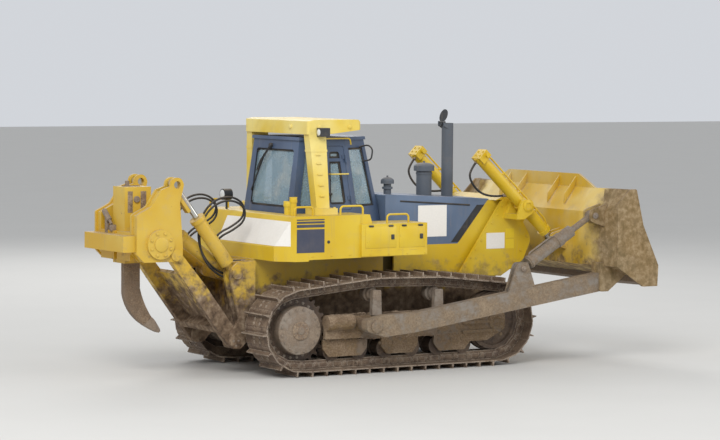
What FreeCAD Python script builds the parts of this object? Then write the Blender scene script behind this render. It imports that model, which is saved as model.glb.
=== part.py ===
"""A crawler bulldozer with a straight-tilt blade and a single-shank ripper.

Sizes are millimetres. X points forward, Y to the machine's left and Z up from the ground under the
grouser tips. Pieces are drawn from the drive sprocket's axle, which is X = 0 in the drawing, and each
finished piece is then moved back by frame_origin, so that the origin lies under the middle of the machine.
"""

import FreeCAD, Part
import math
import os
import Sketcher
from FreeCAD import Vector, Rotation, Placement

DOC = FreeCAD.newDocument("crawler_dozer")
SHEET = DOC.addObject("Spreadsheet::Sheet", "Sizes")

# Each row is a size's name, its value in millimetres or degrees, and what it measures.
DRIVING_SIZES = (
    ("frame_origin", 1597.5, "from the sprocket's axle forward to the middle of the machine"),
    ("joint_gap", 5, "between pieces that move past each other"),
    ("seat_gap", 0.3, "between a round piece and its seat"),
    ("pin_gap", 0.5, "between a pin or rod and its bore"),
    # Tracks
    ("gauge", 2100, "between the middle lines of the two tracks"),
    ("shoe_wide", 610, "width of a track shoe"),
    ("shoe_plate", 16, "thickness of a shoe's plate"),
    ("grouser_tall", 66, "height of the grouser bar above the shoe"),
    ("grouser_thick", 26, "thickness of the grouser bar at its foot"),
    ("shoe_pitch", 228.6, "wanted distance between two chain pins"),
    ("link_out", 58, "from the chain pins out to the shoe's seat"),
    ("link_in", 70, "from the chain pins in to the rail"),
    ("link_gap", 110, "clear width between the two rows of links"),
    ("link_wide", 48, "width of one row of links"),
    ("wheelbase", 3250, "from the sprocket's axle to the idler's axle"),
    ("sprocket_pitch_radius", 496, "sprocket's axle to the chain pins"),
    ("idler_pitch_radius", 490, "idler's axle to the chain pins"),
    ("carrier_rear_at", 1230, "rear carrier roller, forward of the sprocket"),
    ("carrier_behind_idler", 1000, "from the idler's axle back to the front carrier roller"),
    ("carrier_rear_up", 1085, "height of the rear carrier roller's axle"),
    ("carrier_front_up", 1062, "height of the front carrier roller's axle"),
    ("carrier_radius", 98, "tread radius of a carrier roller"),
    ("roller_radius", 115, "tread radius of a track roller"),
    ("roller_flange", 20, "height of a roller's flange"),
    ("roller_first_at", 560, "first track roller, forward of the sprocket"),
    ("roller_behind_idler", 530, "from the idler's axle back to the last track roller"),
    ("roller_count", 6, "track rollers on each side"),
    ("tooth_count", 27, "teeth on the sprocket"),
    ("tooth_tall", 52, "height of a sprocket tooth"),
    ("final_drive_radius", 333, "radius of the final drive's cover"),
    ("final_drive_out", 1300, "outer face of the final drive's cover from the middle"),
    ("frame_half", 190, "half the width of a track frame"),
    ("frame_plate", 36, "plate thickness of the track frame's fork and guards"),
    ("frame_low", 470, "underside of the track frame's beam"),
    ("frame_high", 800, "top of the track frame's beam"),
    ("guard_low", 250, "lower edge of the roller guards"),
    # Hull
    ("hull_half", 520, "half the width of the hull"),
    ("hull_rear", -350, "rear face of the hull"),
    ("hull_past_nose", 160, "from the hood's nose forward to the hull's front face"),
    ("belly_up", 500, "underside of the hull"),
    ("belly_plate", 16, "thickness of the belly guard"),
    ("hull_top", 1290, "top of the hull's front rails"),
    ("deck_floor", 1580, "top of the rear case, which carries tank and cab floor"),
    ("case_front", 1790, "front face of the rear case"),
    # Fenders, tank and boxes
    ("side_out", 1300, "outer face of the fenders from the middle"),
    ("deck_up", 2200, "top of the fender deck"),
    ("fender_low", 1600, "lower edge of the fenders"),
    ("fender_rear", 120, "rear end of the fender, where the tank begins"),
    ("box_rear", 940, "rear end of the tool box"),
    ("box_front", 2010, "front end of the tool box"),
    ("box_low", 1700, "underside of the tool box"),
    ("box_high", 2070, "top of the tool box"),
    ("box_proud", 34, "how far the tool box stands out past the fender"),
    ("deck_end", 1150, "front end of the raised deck"),
    ("tank_rear", -300, "rear face of the fuel tank"),
    ("tank_fold", 1770, "height where the tank's rear face starts to slope"),
    ("tank_top_rear", -100, "rear edge of the tank's top"),
    ("tank_corner", 220, "size of the tank's rear corner bevels"),
    # Cab
    ("cab_low", 2040, "bottom of the cab"),
    ("cab_high", 3210, "top of the cab's walls"),
    ("cab_wall", 60, "thickness of the cab's walls and doors"),
    ("cab_rear_low", 180, "rear face of the cab at its bottom"),
    ("cab_rear_high", 340, "rear face of the cab at its top"),
    ("cab_bevel_low", 1225, "where the front bevel starts at the bottom"),
    ("cab_bevel_high", 1060, "where the front bevel starts at the top"),
    ("cab_front_low", 1795, "front face of the cab at its bottom"),
    ("cab_half_low", 700, "half the cab's width at its bottom"),
    ("cab_half_high", 640, "half the cab's width at its top"),
    ("cab_front_half", 430, "half the width of the cab's front face"),
    ("glass_thick", 8, "thickness of the window panes"),
    ("door_rear", 735, "rear edge of the door"),
    ("door_low", 2235, "lower edge of the door"),
    ("door_high", 3130, "upper edge of the door"),
    ("door_frame", 75, "width of the door's frame round its window"),
    ("door_pillar", 30, "from the front edge of the doorway to the cab's bevel"),
    ("hinge_radius", 15, "radius of the door hinges"),
    # Roll-over frame
    ("post_foot_rear", 420, "rear edge of the post's foot"),
    ("post_foot_long", 200, "length of the post's foot"),
    ("post_foot_in", 860, "inner face of the post's foot"),
    ("post_foot_wide", 150, "width of the post's foot"),
    ("post_head_rear", 352, "rear edge of the post's head"),
    ("post_head_long", 270, "length of the post's head"),
    ("post_head_in", 735, "inner face of the post's head"),
    ("roof_low", 3300, "underside of the roof slab's rim"),
    ("roof_high", 3500, "top of the roof slab"),
    ("roof_rear", 328, "rear edge of the roof slab"),
    ("roof_front", 1225, "front edge of the roof slab"),
    ("roof_half", 890, "half the width of the roof slab"),
    # Hood and radiator guard
    ("hood_half", 550, "half the width of the hood"),
    ("hood_sheet", 12, "thickness of the hood's sheets"),
    ("hood_rear", 1805, "rear end of the hood"),
    ("hood_low", 1700, "lower edge of the hood"),
    ("hood_high", 2430, "top of the hood at its rear end"),
    ("hood_nose", 3560, "front end of the hood at its top"),
    ("hood_nose_up", 2335, "height of the hood at its front end"),
    ("hood_slant_foot", 3030, "front end of the hood at its lower edge"),
    ("guard_half", 650, "half the width of the radiator guard"),
    ("guard_plate", 40, "thickness of the radiator guard's plates"),
    ("guard_past_nose", 690, "from the hood's nose forward to the radiator guard's front"),
    ("exhaust_behind_nose", 360, "from the hood's nose back to the exhaust pipe"),
    ("exhaust_radius", 85, "radius of the exhaust pipe"),
    ("exhaust_up", 3420, "top of the exhaust pipe"),
    ("intake_behind_exhaust", 400, "from the exhaust pipe back to the air pre-cleaner"),
    ("intake_radius", 112, "radius of the air pre-cleaner's body"),
    ("rain_cap_open", 72, "how far the exhaust's rain cap stands open, in degrees"),
    # Blade
    ("trunnion_at", 950, "push arm's ball, forward of the sprocket"),
    ("trunnion_up", 690, "push arm's ball, height"),
    ("trunnion_radius", 88, "radius of the push arm's trunnion"),
    ("arm_past_track", 295, "from the track's outer edge to the middle of a push arm"),
    ("arm_wide", 150, "width of a push arm"),
    ("arm_deep", 270, "depth of a push arm"),
    ("blade_past_guard", 420, "from the radiator guard's front to the rear face of the blade's box"),
    ("blade_past_arm", 327, "from the middle of a push arm to the blade's end"),
    ("blade_wing", 727, "width of each swept end of the blade"),
    ("blade_sweep", 140, "how far the blade's ends lie ahead of its middle"),
    ("blade_low", 1290, "lower edge of the raised blade's mouldboard"),
    ("blade_top", 2500, "top of the raised blade at its ends"),
    ("edge_low", 1100, "lowest edge of the raised blade"),
    ("spill_tall", 190, "height of the raised middle of the blade's top"),
    ("brace_foot_at", 3380, "lower end of the blade's tilt cylinder, forward of the sprocket"),
    ("brace_foot_up", 1400, "lower end of the blade's tilt cylinder, height"),
    ("brace_eye_back", 70, "from the rear face of the blade's box back to the tilt cylinder's upper end"),
    ("brace_eye_up", 2125, "upper end of the blade's tilt cylinder, height"),
    ("brace_foot_wide", 60, "width of the tilt cylinder's foot"),
    ("brace_eye_wide", 120, "width of the tilt cylinder's eye"),
    ("yoke_past_nose", 390, "from the hood's nose forward to the lift cylinder's yoke pivot"),
    ("lift_yoke_up", 2240, "lift cylinder's yoke pivot, height"),
    ("yoke_pin_radius", 48, "radius of the lift cylinder's trunnion"),
    ("yoke_reach", 145, "from the lift cylinder's middle to the end of its trunnion"),
    ("yoke_plate", 40, "thickness of the yoke's plates"),
    ("lift_eye_back", 200, "from the rear face of the blade's box back to the lift rod's eye"),
    ("lift_eye_up", 1750, "lift rod's eye, height"),
    ("lift_past_guard", 200, "from the radiator guard's side to the middle of the lift cylinder"),
    ("lift_barrel_radius", 84, "radius of the lift cylinder's barrel"),
    ("lift_rod_radius", 45, "radius of the lift cylinder's rod"),
    ("lift_tail", 1062, "from the yoke pivot up to the barrel's end"),
    ("lift_rod_out", 154.5, "from the barrel's gland to the lift rod's eye"),
    # Ripper
    ("ripper_pin_at", -660, "arm's front pin, from the sprocket"),
    ("ripper_pin_up", 450, "arm's front pin, height"),
    ("ripper_reach", 920, "arm's rear pin behind its front pin"),
    ("ripper_rise", 1230, "arm's rear pin above its front pin"),
    ("ripper_top_at", -640, "tilt cylinder's front pin, from the sprocket"),
    ("ripper_top_up", 1400, "tilt cylinder's front pin, height"),
    ("ripper_eye_past", 70, "from the arm's rear pin forward to the lift rod's eye"),
    ("ripper_eye_over", 350, "from the arm's rear pin up to the lift rod's eye"),
    ("ripper_mid", 545, "tilt cylinder and arm side from the middle of the machine"),
    ("ripper_lift_mid", 275, "ripper's lift cylinder from the middle of the machine"),
    ("ripper_eye_wide", 110, "width of the arm's and cylinders' eyes"),
    ("ripper_ear", 45, "thickness of the ear plates"),
    ("ripper_pin_radius", 50, "radius of the ripper's pins"),
    ("ripper_barrel_radius", 95, "radius of the ripper's cylinder barrels"),
    ("ripper_rod_radius", 42, "radius of the ripper's cylinder rods"),
    ("ripper_neck", 165, "from a ripper cylinder's front pin to its barrel"),
    ("ripper_tilt_out", 576, "from the tilt cylinder's gland to its rod's eye"),
    ("ripper_lift_out", 214, "from the ripper lift cylinder's gland to its rod's eye"),
    ("shank_back", 480, "from the arm's rear pin back to the shank's rear edge"),
    ("shank_deep", 240, "depth of the shank from front to rear"),
    ("shank_thick", 90, "thickness of the shank"),
    ("shank_top", 2600, "top of the shank"),
    ("beam_back", 590, "from the arm's rear pin back to the rear edge of the uprights"),
    ("beam_under", 90, "from the arm's rear pin down to the underside of the ripper beam"),
    ("beam_over", 310, "from the arm's rear pin up to the top of the cross box"),
    ("pocket_top", 2590, "top of the shank's pocket"),
    ("push_back", 180, "how far the push block stands out behind the uprights"),
    ("cover_radius", 200, "radius of the round covers on the uprights"),
)


class Size:
    """A number together with the sheet formula that it comes from."""

    def __init__(self, value, text):
        self.value = float(value)
        self.text = text

    def __add__(self, other):
        return join(self, "+", other)

    def __radd__(self, other):
        return join(other, "+", self)

    def __sub__(self, other):
        return join(self, "-", other)

    def __rsub__(self, other):
        return join(other, "-", self)

    def __mul__(self, other):
        return join(self, "*", other)

    def __rmul__(self, other):
        return join(other, "*", self)

    def __truediv__(self, other):
        return join(self, "/", other)

    def __neg__(self):
        return join(0, "-", self)


def as_size(value):
    """Turn a plain number into a Size."""
    if isinstance(value, Size):
        return value
    return Size(value, f"({float(value):.6f})")


def join(left, sign, right):
    """Combine two sizes, keeping the value and the formula in step."""
    left, right = as_size(left), as_size(right)
    results = {
        "+": left.value + right.value,
        "-": left.value - right.value,
        "*": left.value * right.value,
        "/": left.value / right.value if right.value else 0.0,
    }
    return Size(results[sign], f"({left.text} {sign} {right.text})")


def root(value):
    """The square root of a size."""
    return Size(math.sqrt(value.value), f"sqrt({value.text})")


def fill_sheet():
    """Write the driving sizes into the sheet and return them by name."""
    sizes = {}
    for row, (name, value, note) in enumerate(DRIVING_SIZES, start=1):
        SHEET.set(f"A{row}", note)
        SHEET.set(f"B{row}", str(value))
        SHEET.setAlias(f"B{row}", name)
        sizes[name] = Size(value, f"Sizes.{name}")
    DOC.recompute()
    return sizes


class Names:
    """Lets a driving size be read as a plain attribute."""

    def __init__(self, sizes):
        self.__dict__.update(sizes)


S = Names(fill_sheet())
NODES = []


def bind(piece, prop, value):
    """Tie one property of a piece to the sheet."""
    value = as_size(value)
    piece.setExpression(prop, value.text)


def place(piece, x=0, y=0, z=0):
    """Tie a piece's position to the sheet."""
    bind(piece, "Placement.Base.x", x)
    bind(piece, "Placement.Base.y", y)
    bind(piece, "Placement.Base.z", z)
    return piece


def fresh(kind, name):
    """Add one object of the given kind to the document."""
    return DOC.addObject(kind, name)


def corner_arc(before, corner, after, radius):
    """The two tangent points and the centre of a rounded corner, as plain numbers."""
    to_before = (before - corner).normalize()
    to_after = (after - corner).normalize()
    half = to_before.getAngle(to_after) / 2
    reach = radius / math.tan(half)
    middle = (to_before + to_after).normalize()
    return corner + to_before * reach, corner + to_after * reach, corner + middle * (radius / math.sin(half))


def draw_loop(sketch, points):
    """Draw a closed outline of straight sides; a point with a third value gets that corner radius."""
    count = len(points)
    spots = [Vector(as_size(p[0]).value, as_size(p[1]).value, 0) for p in points]
    starts, ends, centres = list(spots), list(spots), [None] * count
    for i, point in enumerate(points):
        if len(point) > 2:
            found = corner_arc(spots[i - 1], spots[i], spots[(i + 1) % count], as_size(point[2]).value)
            ends[i], starts[i], centres[i] = found
    lines = [
        sketch.addGeometry(Part.LineSegment(starts[i], ends[(i + 1) % count]), False) for i in range(count)
    ]
    for i, point in enumerate(points):
        line_in, line_out = lines[i - 1], lines[i]
        if centres[i] is None:
            sketch.addConstraint(Sketcher.Constraint("Coincident", line_in, 2, line_out, 1))
            pin_point(sketch, line_out, 1, point, spots[i])
            continue
        radius = as_size(point[2])
        first, last = ends[i] - centres[i], starts[i] - centres[i]
        turn = first.cross(last).z
        a, b = math.atan2(first.y, first.x), math.atan2(last.y, last.x)
        circle = Part.Circle(centres[i], Vector(0, 0, 1), radius.value)
        span = (a, b) if turn > 0 else (b, a)
        arc = sketch.addGeometry(Part.ArcOfCircle(circle, *span), False)
        arc_in, arc_out = (1, 2) if turn > 0 else (2, 1)
        sketch.addConstraint(Sketcher.Constraint("Tangent", line_in, 2, arc, arc_in))
        sketch.addConstraint(Sketcher.Constraint("Tangent", arc, arc_out, line_out, 1))
        rule = sketch.addConstraint(Sketcher.Constraint("Radius", arc, radius.value))
        sketch.setExpression(f"Constraints[{rule}]", radius.text)
        mark = sketch.addGeometry(Part.Point(spots[i]), True)
        pin_point(sketch, mark, 1, point, spots[i])
        sketch.addConstraint(Sketcher.Constraint("PointOnObject", mark, 1, line_in))
        sketch.addConstraint(Sketcher.Constraint("PointOnObject", mark, 1, line_out))


def pin_point(sketch, shape, end, point, spot):
    """Hold one point of a sketch at the sheet's distances from the sketch's origin."""
    for kind, value, now in (("DistanceX", point[0], spot.x), ("DistanceY", point[1], spot.y)):
        rule = sketch.addConstraint(Sketcher.Constraint(kind, -1, 1, shape, end, now))
        sketch.setExpression(f"Constraints[{rule}]", as_size(value).text)


def draw_circle(sketch, x, y, radius):
    """Draw one circle."""
    spot = Vector(as_size(x).value, as_size(y).value, 0)
    radius = as_size(radius)
    circle = sketch.addGeometry(Part.Circle(spot, Vector(0, 0, 1), radius.value), False)
    pin_point(sketch, circle, 3, (x, y), spot)
    rule = sketch.addConstraint(Sketcher.Constraint("Radius", circle, radius.value))
    sketch.setExpression(f"Constraints[{rule}]", radius.text)


def new_sketch(body, plane, offset):
    """Start a sketch on one of a body's own planes, moved along the plane's normal."""
    sketch = body.newObject("Sketcher::SketchObject", "Outline")
    origin_plane = [p for p in body.Origin.OriginFeatures if p.Role == plane][0]
    sketch.AttachmentSupport = [(origin_plane, "")]
    sketch.MapMode = "FlatFace"
    bind(sketch, "AttachmentOffset.Base.z", offset)
    return sketch


def plate(name, plane, points, low, high, holes=()):
    """A plate or block: an outline padded between two distances along the plane's axis.

    On the XZ plane the outline is X, Z and the distances are Y; on YZ it is Y, Z with X; on XY it is
    X, Y with Z. Each hole is its two coordinates and a radius.
    """
    low, high = as_size(low), as_size(high)
    body = fresh("PartDesign::Body", name)
    offset = -high if plane == "XZ_Plane" else low
    sketch = new_sketch(body, plane, offset)
    if points:
        draw_loop(sketch, points)
    for x, y, radius in holes:
        draw_circle(sketch, x, y, radius)
    pad = body.newObject("PartDesign::Pad", "Pad")
    pad.Profile = sketch
    bind(pad, "Length", high - low)
    sketch.Visibility = False
    return body


def block(name, x, y, z):
    """A box between two values on each axis."""
    box = fresh("Part::Box", name)
    for prop, (low, high) in (("Length", x), ("Width", y), ("Height", z)):
        bind(box, prop, as_size(high) - as_size(low))
    return place(box, x[0], y[0], z[0])


def rod(name, start, axis, radius, length, hole=None):
    """A round bar or tube from a start point along the X, Y or Z axis."""
    bar = fresh("Part::Cylinder", name)
    bind(bar, "Radius", radius)
    bind(bar, "Height", length)
    turned = {"X": Rotation(Vector(0, 1, 0), 90), "Y": Rotation(Vector(1, 0, 0), -90), "Z": Rotation()}
    bar.Placement = Placement(Vector(), turned[axis])
    place(bar, *start)
    if hole is None:
        return bar
    return cut(name + "_tube", bar, [rod(name + "_bore", start, axis, hole, length)])


def turned(name, rows, x, y, z):
    """A turned piece about an axle along Y; each row is a radius and a distance along the axle."""
    body = fresh("PartDesign::Body", name)
    sketch = new_sketch(body, "XY_Plane", 0)
    draw_loop(sketch, rows)
    spin = body.newObject("PartDesign::Revolution", "Turn")
    spin.Profile = sketch
    spin.ReferenceAxis = (sketch, ["V_Axis"])
    spin.Angle = 360
    sketch.Visibility = False
    return place(body, x, y, z)


def join_pieces(kind, name, prop, pieces):
    """Make one object of several by the given operation."""
    result = fresh(kind, name)
    setattr(result, prop, pieces)
    for piece in pieces:
        piece.Visibility = False
    return result


def fuse(name, pieces):
    """Weld pieces into one solid."""
    result = join_pieces("Part::MultiFuse", name, "Shapes", pieces)
    result.Refine = True
    return result


def group(name, pieces):
    """Keep pieces that don't touch as the solids of one node."""
    return join_pieces("Part::Compound", name, "Links", pieces)


def cut(name, base, tools):
    """Take tools away from a base."""
    result = fresh("Part::Cut", name)
    result.Base = base
    result.Tool = tools[0] if len(tools) == 1 else join_pieces("Part::MultiFuse", name + "_tools", "Shapes", tools)
    return result


def common(name, pieces):
    """Keep what all pieces share."""
    return join_pieces("Part::MultiCommon", name, "Shapes", pieces)


def mirror(piece, name):
    """The same piece on the machine's left."""
    copy = fresh("Part::Mirroring", name)
    copy.Source = piece
    copy.Normal = Vector(0, 1, 0)
    return copy


def both(name, piece):
    """A piece on the right together with its mirror image, as two solids of one object."""
    return group(name, [piece, mirror(piece, name + "_left")])


def solid(name, shape):
    """A piece whose shape is worked out in code from the sheet."""
    feature = fresh("Part::Feature", name)
    feature.Shape = shape
    return feature


def between_outlines(name, bottom, top):
    """A solid with flat sides between two outlines that have as many corners each."""
    faces = [Part.Face(Part.makePolygon(points + points[:1])) for points in (bottom, top)]
    for i in range(len(bottom)):
        corners = [bottom[i - 1], bottom[i], top[i], top[i - 1]]
        faces.append(Part.Face(Part.makePolygon(corners + corners[:1])))
    shape = Part.Solid(Part.Shell(faces))
    if shape.Volume < 0:
        shape.reverse()
    return solid(name, shape)


def swing(piece, x, z, angle, y=0):
    """Turn a piece that was drawn about the origin about Y and put it at a point."""
    piece.Placement = Placement(Vector(), Rotation(Vector(0, 1, 0), angle))
    return place(piece, x, y, z)


def node(label, piece):
    """Name a finished piece and move it into the frame of the whole machine."""
    moved = join_pieces("Part::Compound", "Node_" + label, "Links", [piece])
    moved.Label = label
    bind(moved, "Placement.Base.x", -S.frame_origin)
    NODES.append(moved)
    return moved


def pair(label, piece):
    """A node on the right and its mirror image on the left."""
    node(label + "_right", piece)
    node(label + "_left", mirror(piece, label + "_mirrored"))


# Track geometry

PIN_UP = S.link_out + S.shoe_plate + S.grouser_tall
AXLE_UP = PIN_UP + S.sprocket_pitch_radius
IDLER_UP = PIN_UP + S.idler_pitch_radius
TRACK_MID = S.gauge / 2
TRACK_IN = TRACK_MID - S.shoe_wide / 2
TRACK_OUT = TRACK_MID + S.shoe_wide / 2
FRAME_IN = TRACK_MID - S.frame_half
FRAME_OUT = TRACK_MID + S.frame_half
CARRIER_LINE = S.carrier_radius + S.link_in
ROLLER_LAST_AT = S.wheelbase - S.roller_behind_idler
CARRIER_FRONT_AT = S.wheelbase - S.carrier_behind_idler
EXHAUST_AT = S.hood_nose - S.exhaust_behind_nose
INTAKE_AT = EXHAUST_AT - S.intake_behind_exhaust
HULL_FRONT = S.hood_nose + S.hull_past_nose
GUARD_FRONT = S.hood_nose + S.guard_past_nose
BLADE_BACK = GUARD_FRONT + S.blade_past_guard
ARM_MID = TRACK_OUT + S.arm_past_track
BLADE_HALF = ARM_MID + S.blade_past_arm
BLADE_MID_HALF = BLADE_HALF - S.blade_wing
BRACE_EYE_AT = BLADE_BACK - S.brace_eye_back
YOKE_AT = S.hood_nose + S.yoke_past_nose
LIFT_EYE_AT = BLADE_BACK - S.lift_eye_back
LIFT_MID = S.guard_half + S.lift_past_guard
BEAM_PIN_AT = S.ripper_pin_at - S.ripper_reach
BEAM_PIN_UP = S.ripper_pin_up + S.ripper_rise
RIPPER_EYE_AT = BEAM_PIN_AT + S.ripper_eye_past
RIPPER_EYE_UP = BEAM_PIN_UP + S.ripper_eye_over
SHANK_REAR = BEAM_PIN_AT - S.shank_back
SHANK_FRONT = SHANK_REAR + S.shank_deep
BEAM_REAR = BEAM_PIN_AT - S.beam_back
BEAM_LOW = BEAM_PIN_UP - S.beam_under
BEAM_HIGH = BEAM_PIN_UP + S.beam_over


def belt_circles():
    """The four circles that the chain's pin line runs round, in order, as plain numbers."""
    return (
        (Vector(0, 0, AXLE_UP.value), S.sprocket_pitch_radius.value),
        (Vector(S.wheelbase.value, 0, IDLER_UP.value), S.idler_pitch_radius.value),
        (Vector(CARRIER_FRONT_AT.value, 0, S.carrier_front_up.value), CARRIER_LINE.value),
        (Vector(S.carrier_rear_at.value, 0, S.carrier_rear_up.value), CARRIER_LINE.value),
    )


def belt_edges():
    """The pin line as straight runs and arcs: each is a length and a function from distance to point."""
    circles = belt_circles()
    directions = []
    for (here, r_here), (there, r_there) in zip(circles, circles[1:] + circles[:1]):
        gap = there - here
        along = math.atan2(gap.z, gap.x)
        lean = math.asin((r_here - r_there) / gap.Length)
        directions.append(along + lean - math.pi / 2)
    runs = []
    for i, (centre, radius) in enumerate(circles):
        start, end = directions[i - 1], directions[i]
        sweep = (end - start) % (2 * math.pi)
        runs.append(("arc", radius * sweep, centre, radius, start))
        after, r_after = circles[(i + 1) % len(circles)]
        ray = Vector(math.cos(end), 0, math.sin(end))
        first, last = centre + ray * radius, after + ray * r_after
        runs.append(("line", (last - first).Length, first, last, end))
    return runs


def belt_pins():
    """The chain's pins, evenly spaced round the pin line."""
    runs = belt_edges()
    total = sum(run[1] for run in runs)
    count = round(total / S.shoe_pitch.value)
    pins = []
    for k in range(count):
        left = total * k / count
        for kind, length, first, second, angle in runs:
            if left <= length:
                break
            left -= length
        if kind == "arc":
            turn = angle + left / second
            pins.append(first + Vector(math.cos(turn), 0, math.sin(turn)) * second)
        else:
            pins.append(first + (second - first) * (left / length))
    return pins


def offset_pins(pins, out):
    """A closed outline parallel to the pins' polygon, outward for a positive distance."""
    points = []
    for i, pin in enumerate(pins):
        into = (pin - pins[i - 1]).normalize()
        onward = (pins[(i + 1) % len(pins)] - pin).normalize()
        outward_in, outward_on = Vector(into.z, 0, -into.x), Vector(onward.z, 0, -onward.x)
        middle = (outward_in + outward_on).normalize()
        points.append(pin + middle * (out / middle.dot(outward_in)))
    return points


def shoe_outline(pins):
    """The outline of all shoes: a notch between two shoes, then the plate and its grouser bar."""
    seat = S.link_out.value
    plate_out = seat + S.shoe_plate.value
    tip = plate_out + S.grouser_tall.value
    notch, foot_shift, half_tip = 10.0, 0.3, 0.32
    points = []
    notches = offset_pins(pins, seat + S.shoe_plate.value / 3)
    for i, pin in enumerate(pins):
        after = pins[(i + 1) % len(pins)]
        along = after - pin
        length = along.Length
        along.normalize()
        outward = Vector(along.z, 0, -along.x)
        bar = length * foot_shift
        thick = S.grouser_thick.value
        shoe = (
            (notch, plate_out),
            (bar - thick / 2, plate_out),
            (bar - thick * half_tip, tip),
            (bar + thick * half_tip, tip),
            (bar + thick / 2, plate_out),
            (length - notch, plate_out),
        )
        points.append(notches[i])
        points.extend(pin + along * t + outward * n for t, n in shoe)
    return points


def ring(outer, inner, low, high):
    """A closed loop between two outlines in the XZ plane, from one Y to another."""
    rings = [Part.makePolygon(points + points[:1]) for points in (outer, inner)]
    face = Part.Face(rings[0]).cut(Part.Face(rings[1]))
    face.translate(Vector(0, low, 0))
    return face.extrude(Vector(0, high - low, 0))


def track_shape(side):
    """One track: shoes and two rows of links in one solid."""
    pins = belt_pins()
    seat = offset_pins(pins, S.link_out.value)
    rail = offset_pins(pins, -S.link_in.value)
    mid = side * TRACK_MID.value
    half = S.shoe_wide.value / 2
    loop = ring(shoe_outline(pins), seat, mid - half, mid + half)
    near, far = S.link_gap.value / 2, S.link_gap.value / 2 + S.link_wide.value
    for low, high in ((-far, -near), (near, far)):
        loop = loop.fuse(ring(seat, rail, mid + low, mid + high))
    return loop.removeSplitter()


def make_tracks():
    """The two tracks."""
    for side, label in ((-1, "track_right"), (1, "track_left")):
        node(label, solid("Track_shape_" + label, track_shape(side)))


def sprocket_shape():
    """The toothed ring of the right sprocket about its axle."""
    teeth = int(S.tooth_count.value)
    root_radius = S.sprocket_pitch_radius.value - S.tooth_tall.value * 0.7
    tip_radius = root_radius + S.tooth_tall.value
    step = 2 * math.pi / teeth
    points = []
    for i in range(teeth):
        for share, radius in ((0.0, root_radius), (0.42, root_radius), (0.60, tip_radius), (0.82, tip_radius)):
            turn = (i + share) * step
            points.append(Vector(radius * math.cos(turn), 0, radius * math.sin(turn)))
    half = S.link_gap.value / 2 - S.joint_gap.value * 2
    disc = Part.Face(Part.makePolygon(points + points[:1]))
    disc.translate(Vector(0, -half, 0))
    toothed = disc.extrude(Vector(0, 2 * half, 0))
    bore = Part.makeCylinder(S.final_drive_radius.value, 4 * half, Vector(0, -2 * half, 0), Vector(0, 1, 0))
    toothed = toothed.cut(bore)
    toothed.translate(Vector(0, -TRACK_MID.value, AXLE_UP.value))
    return toothed


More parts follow.
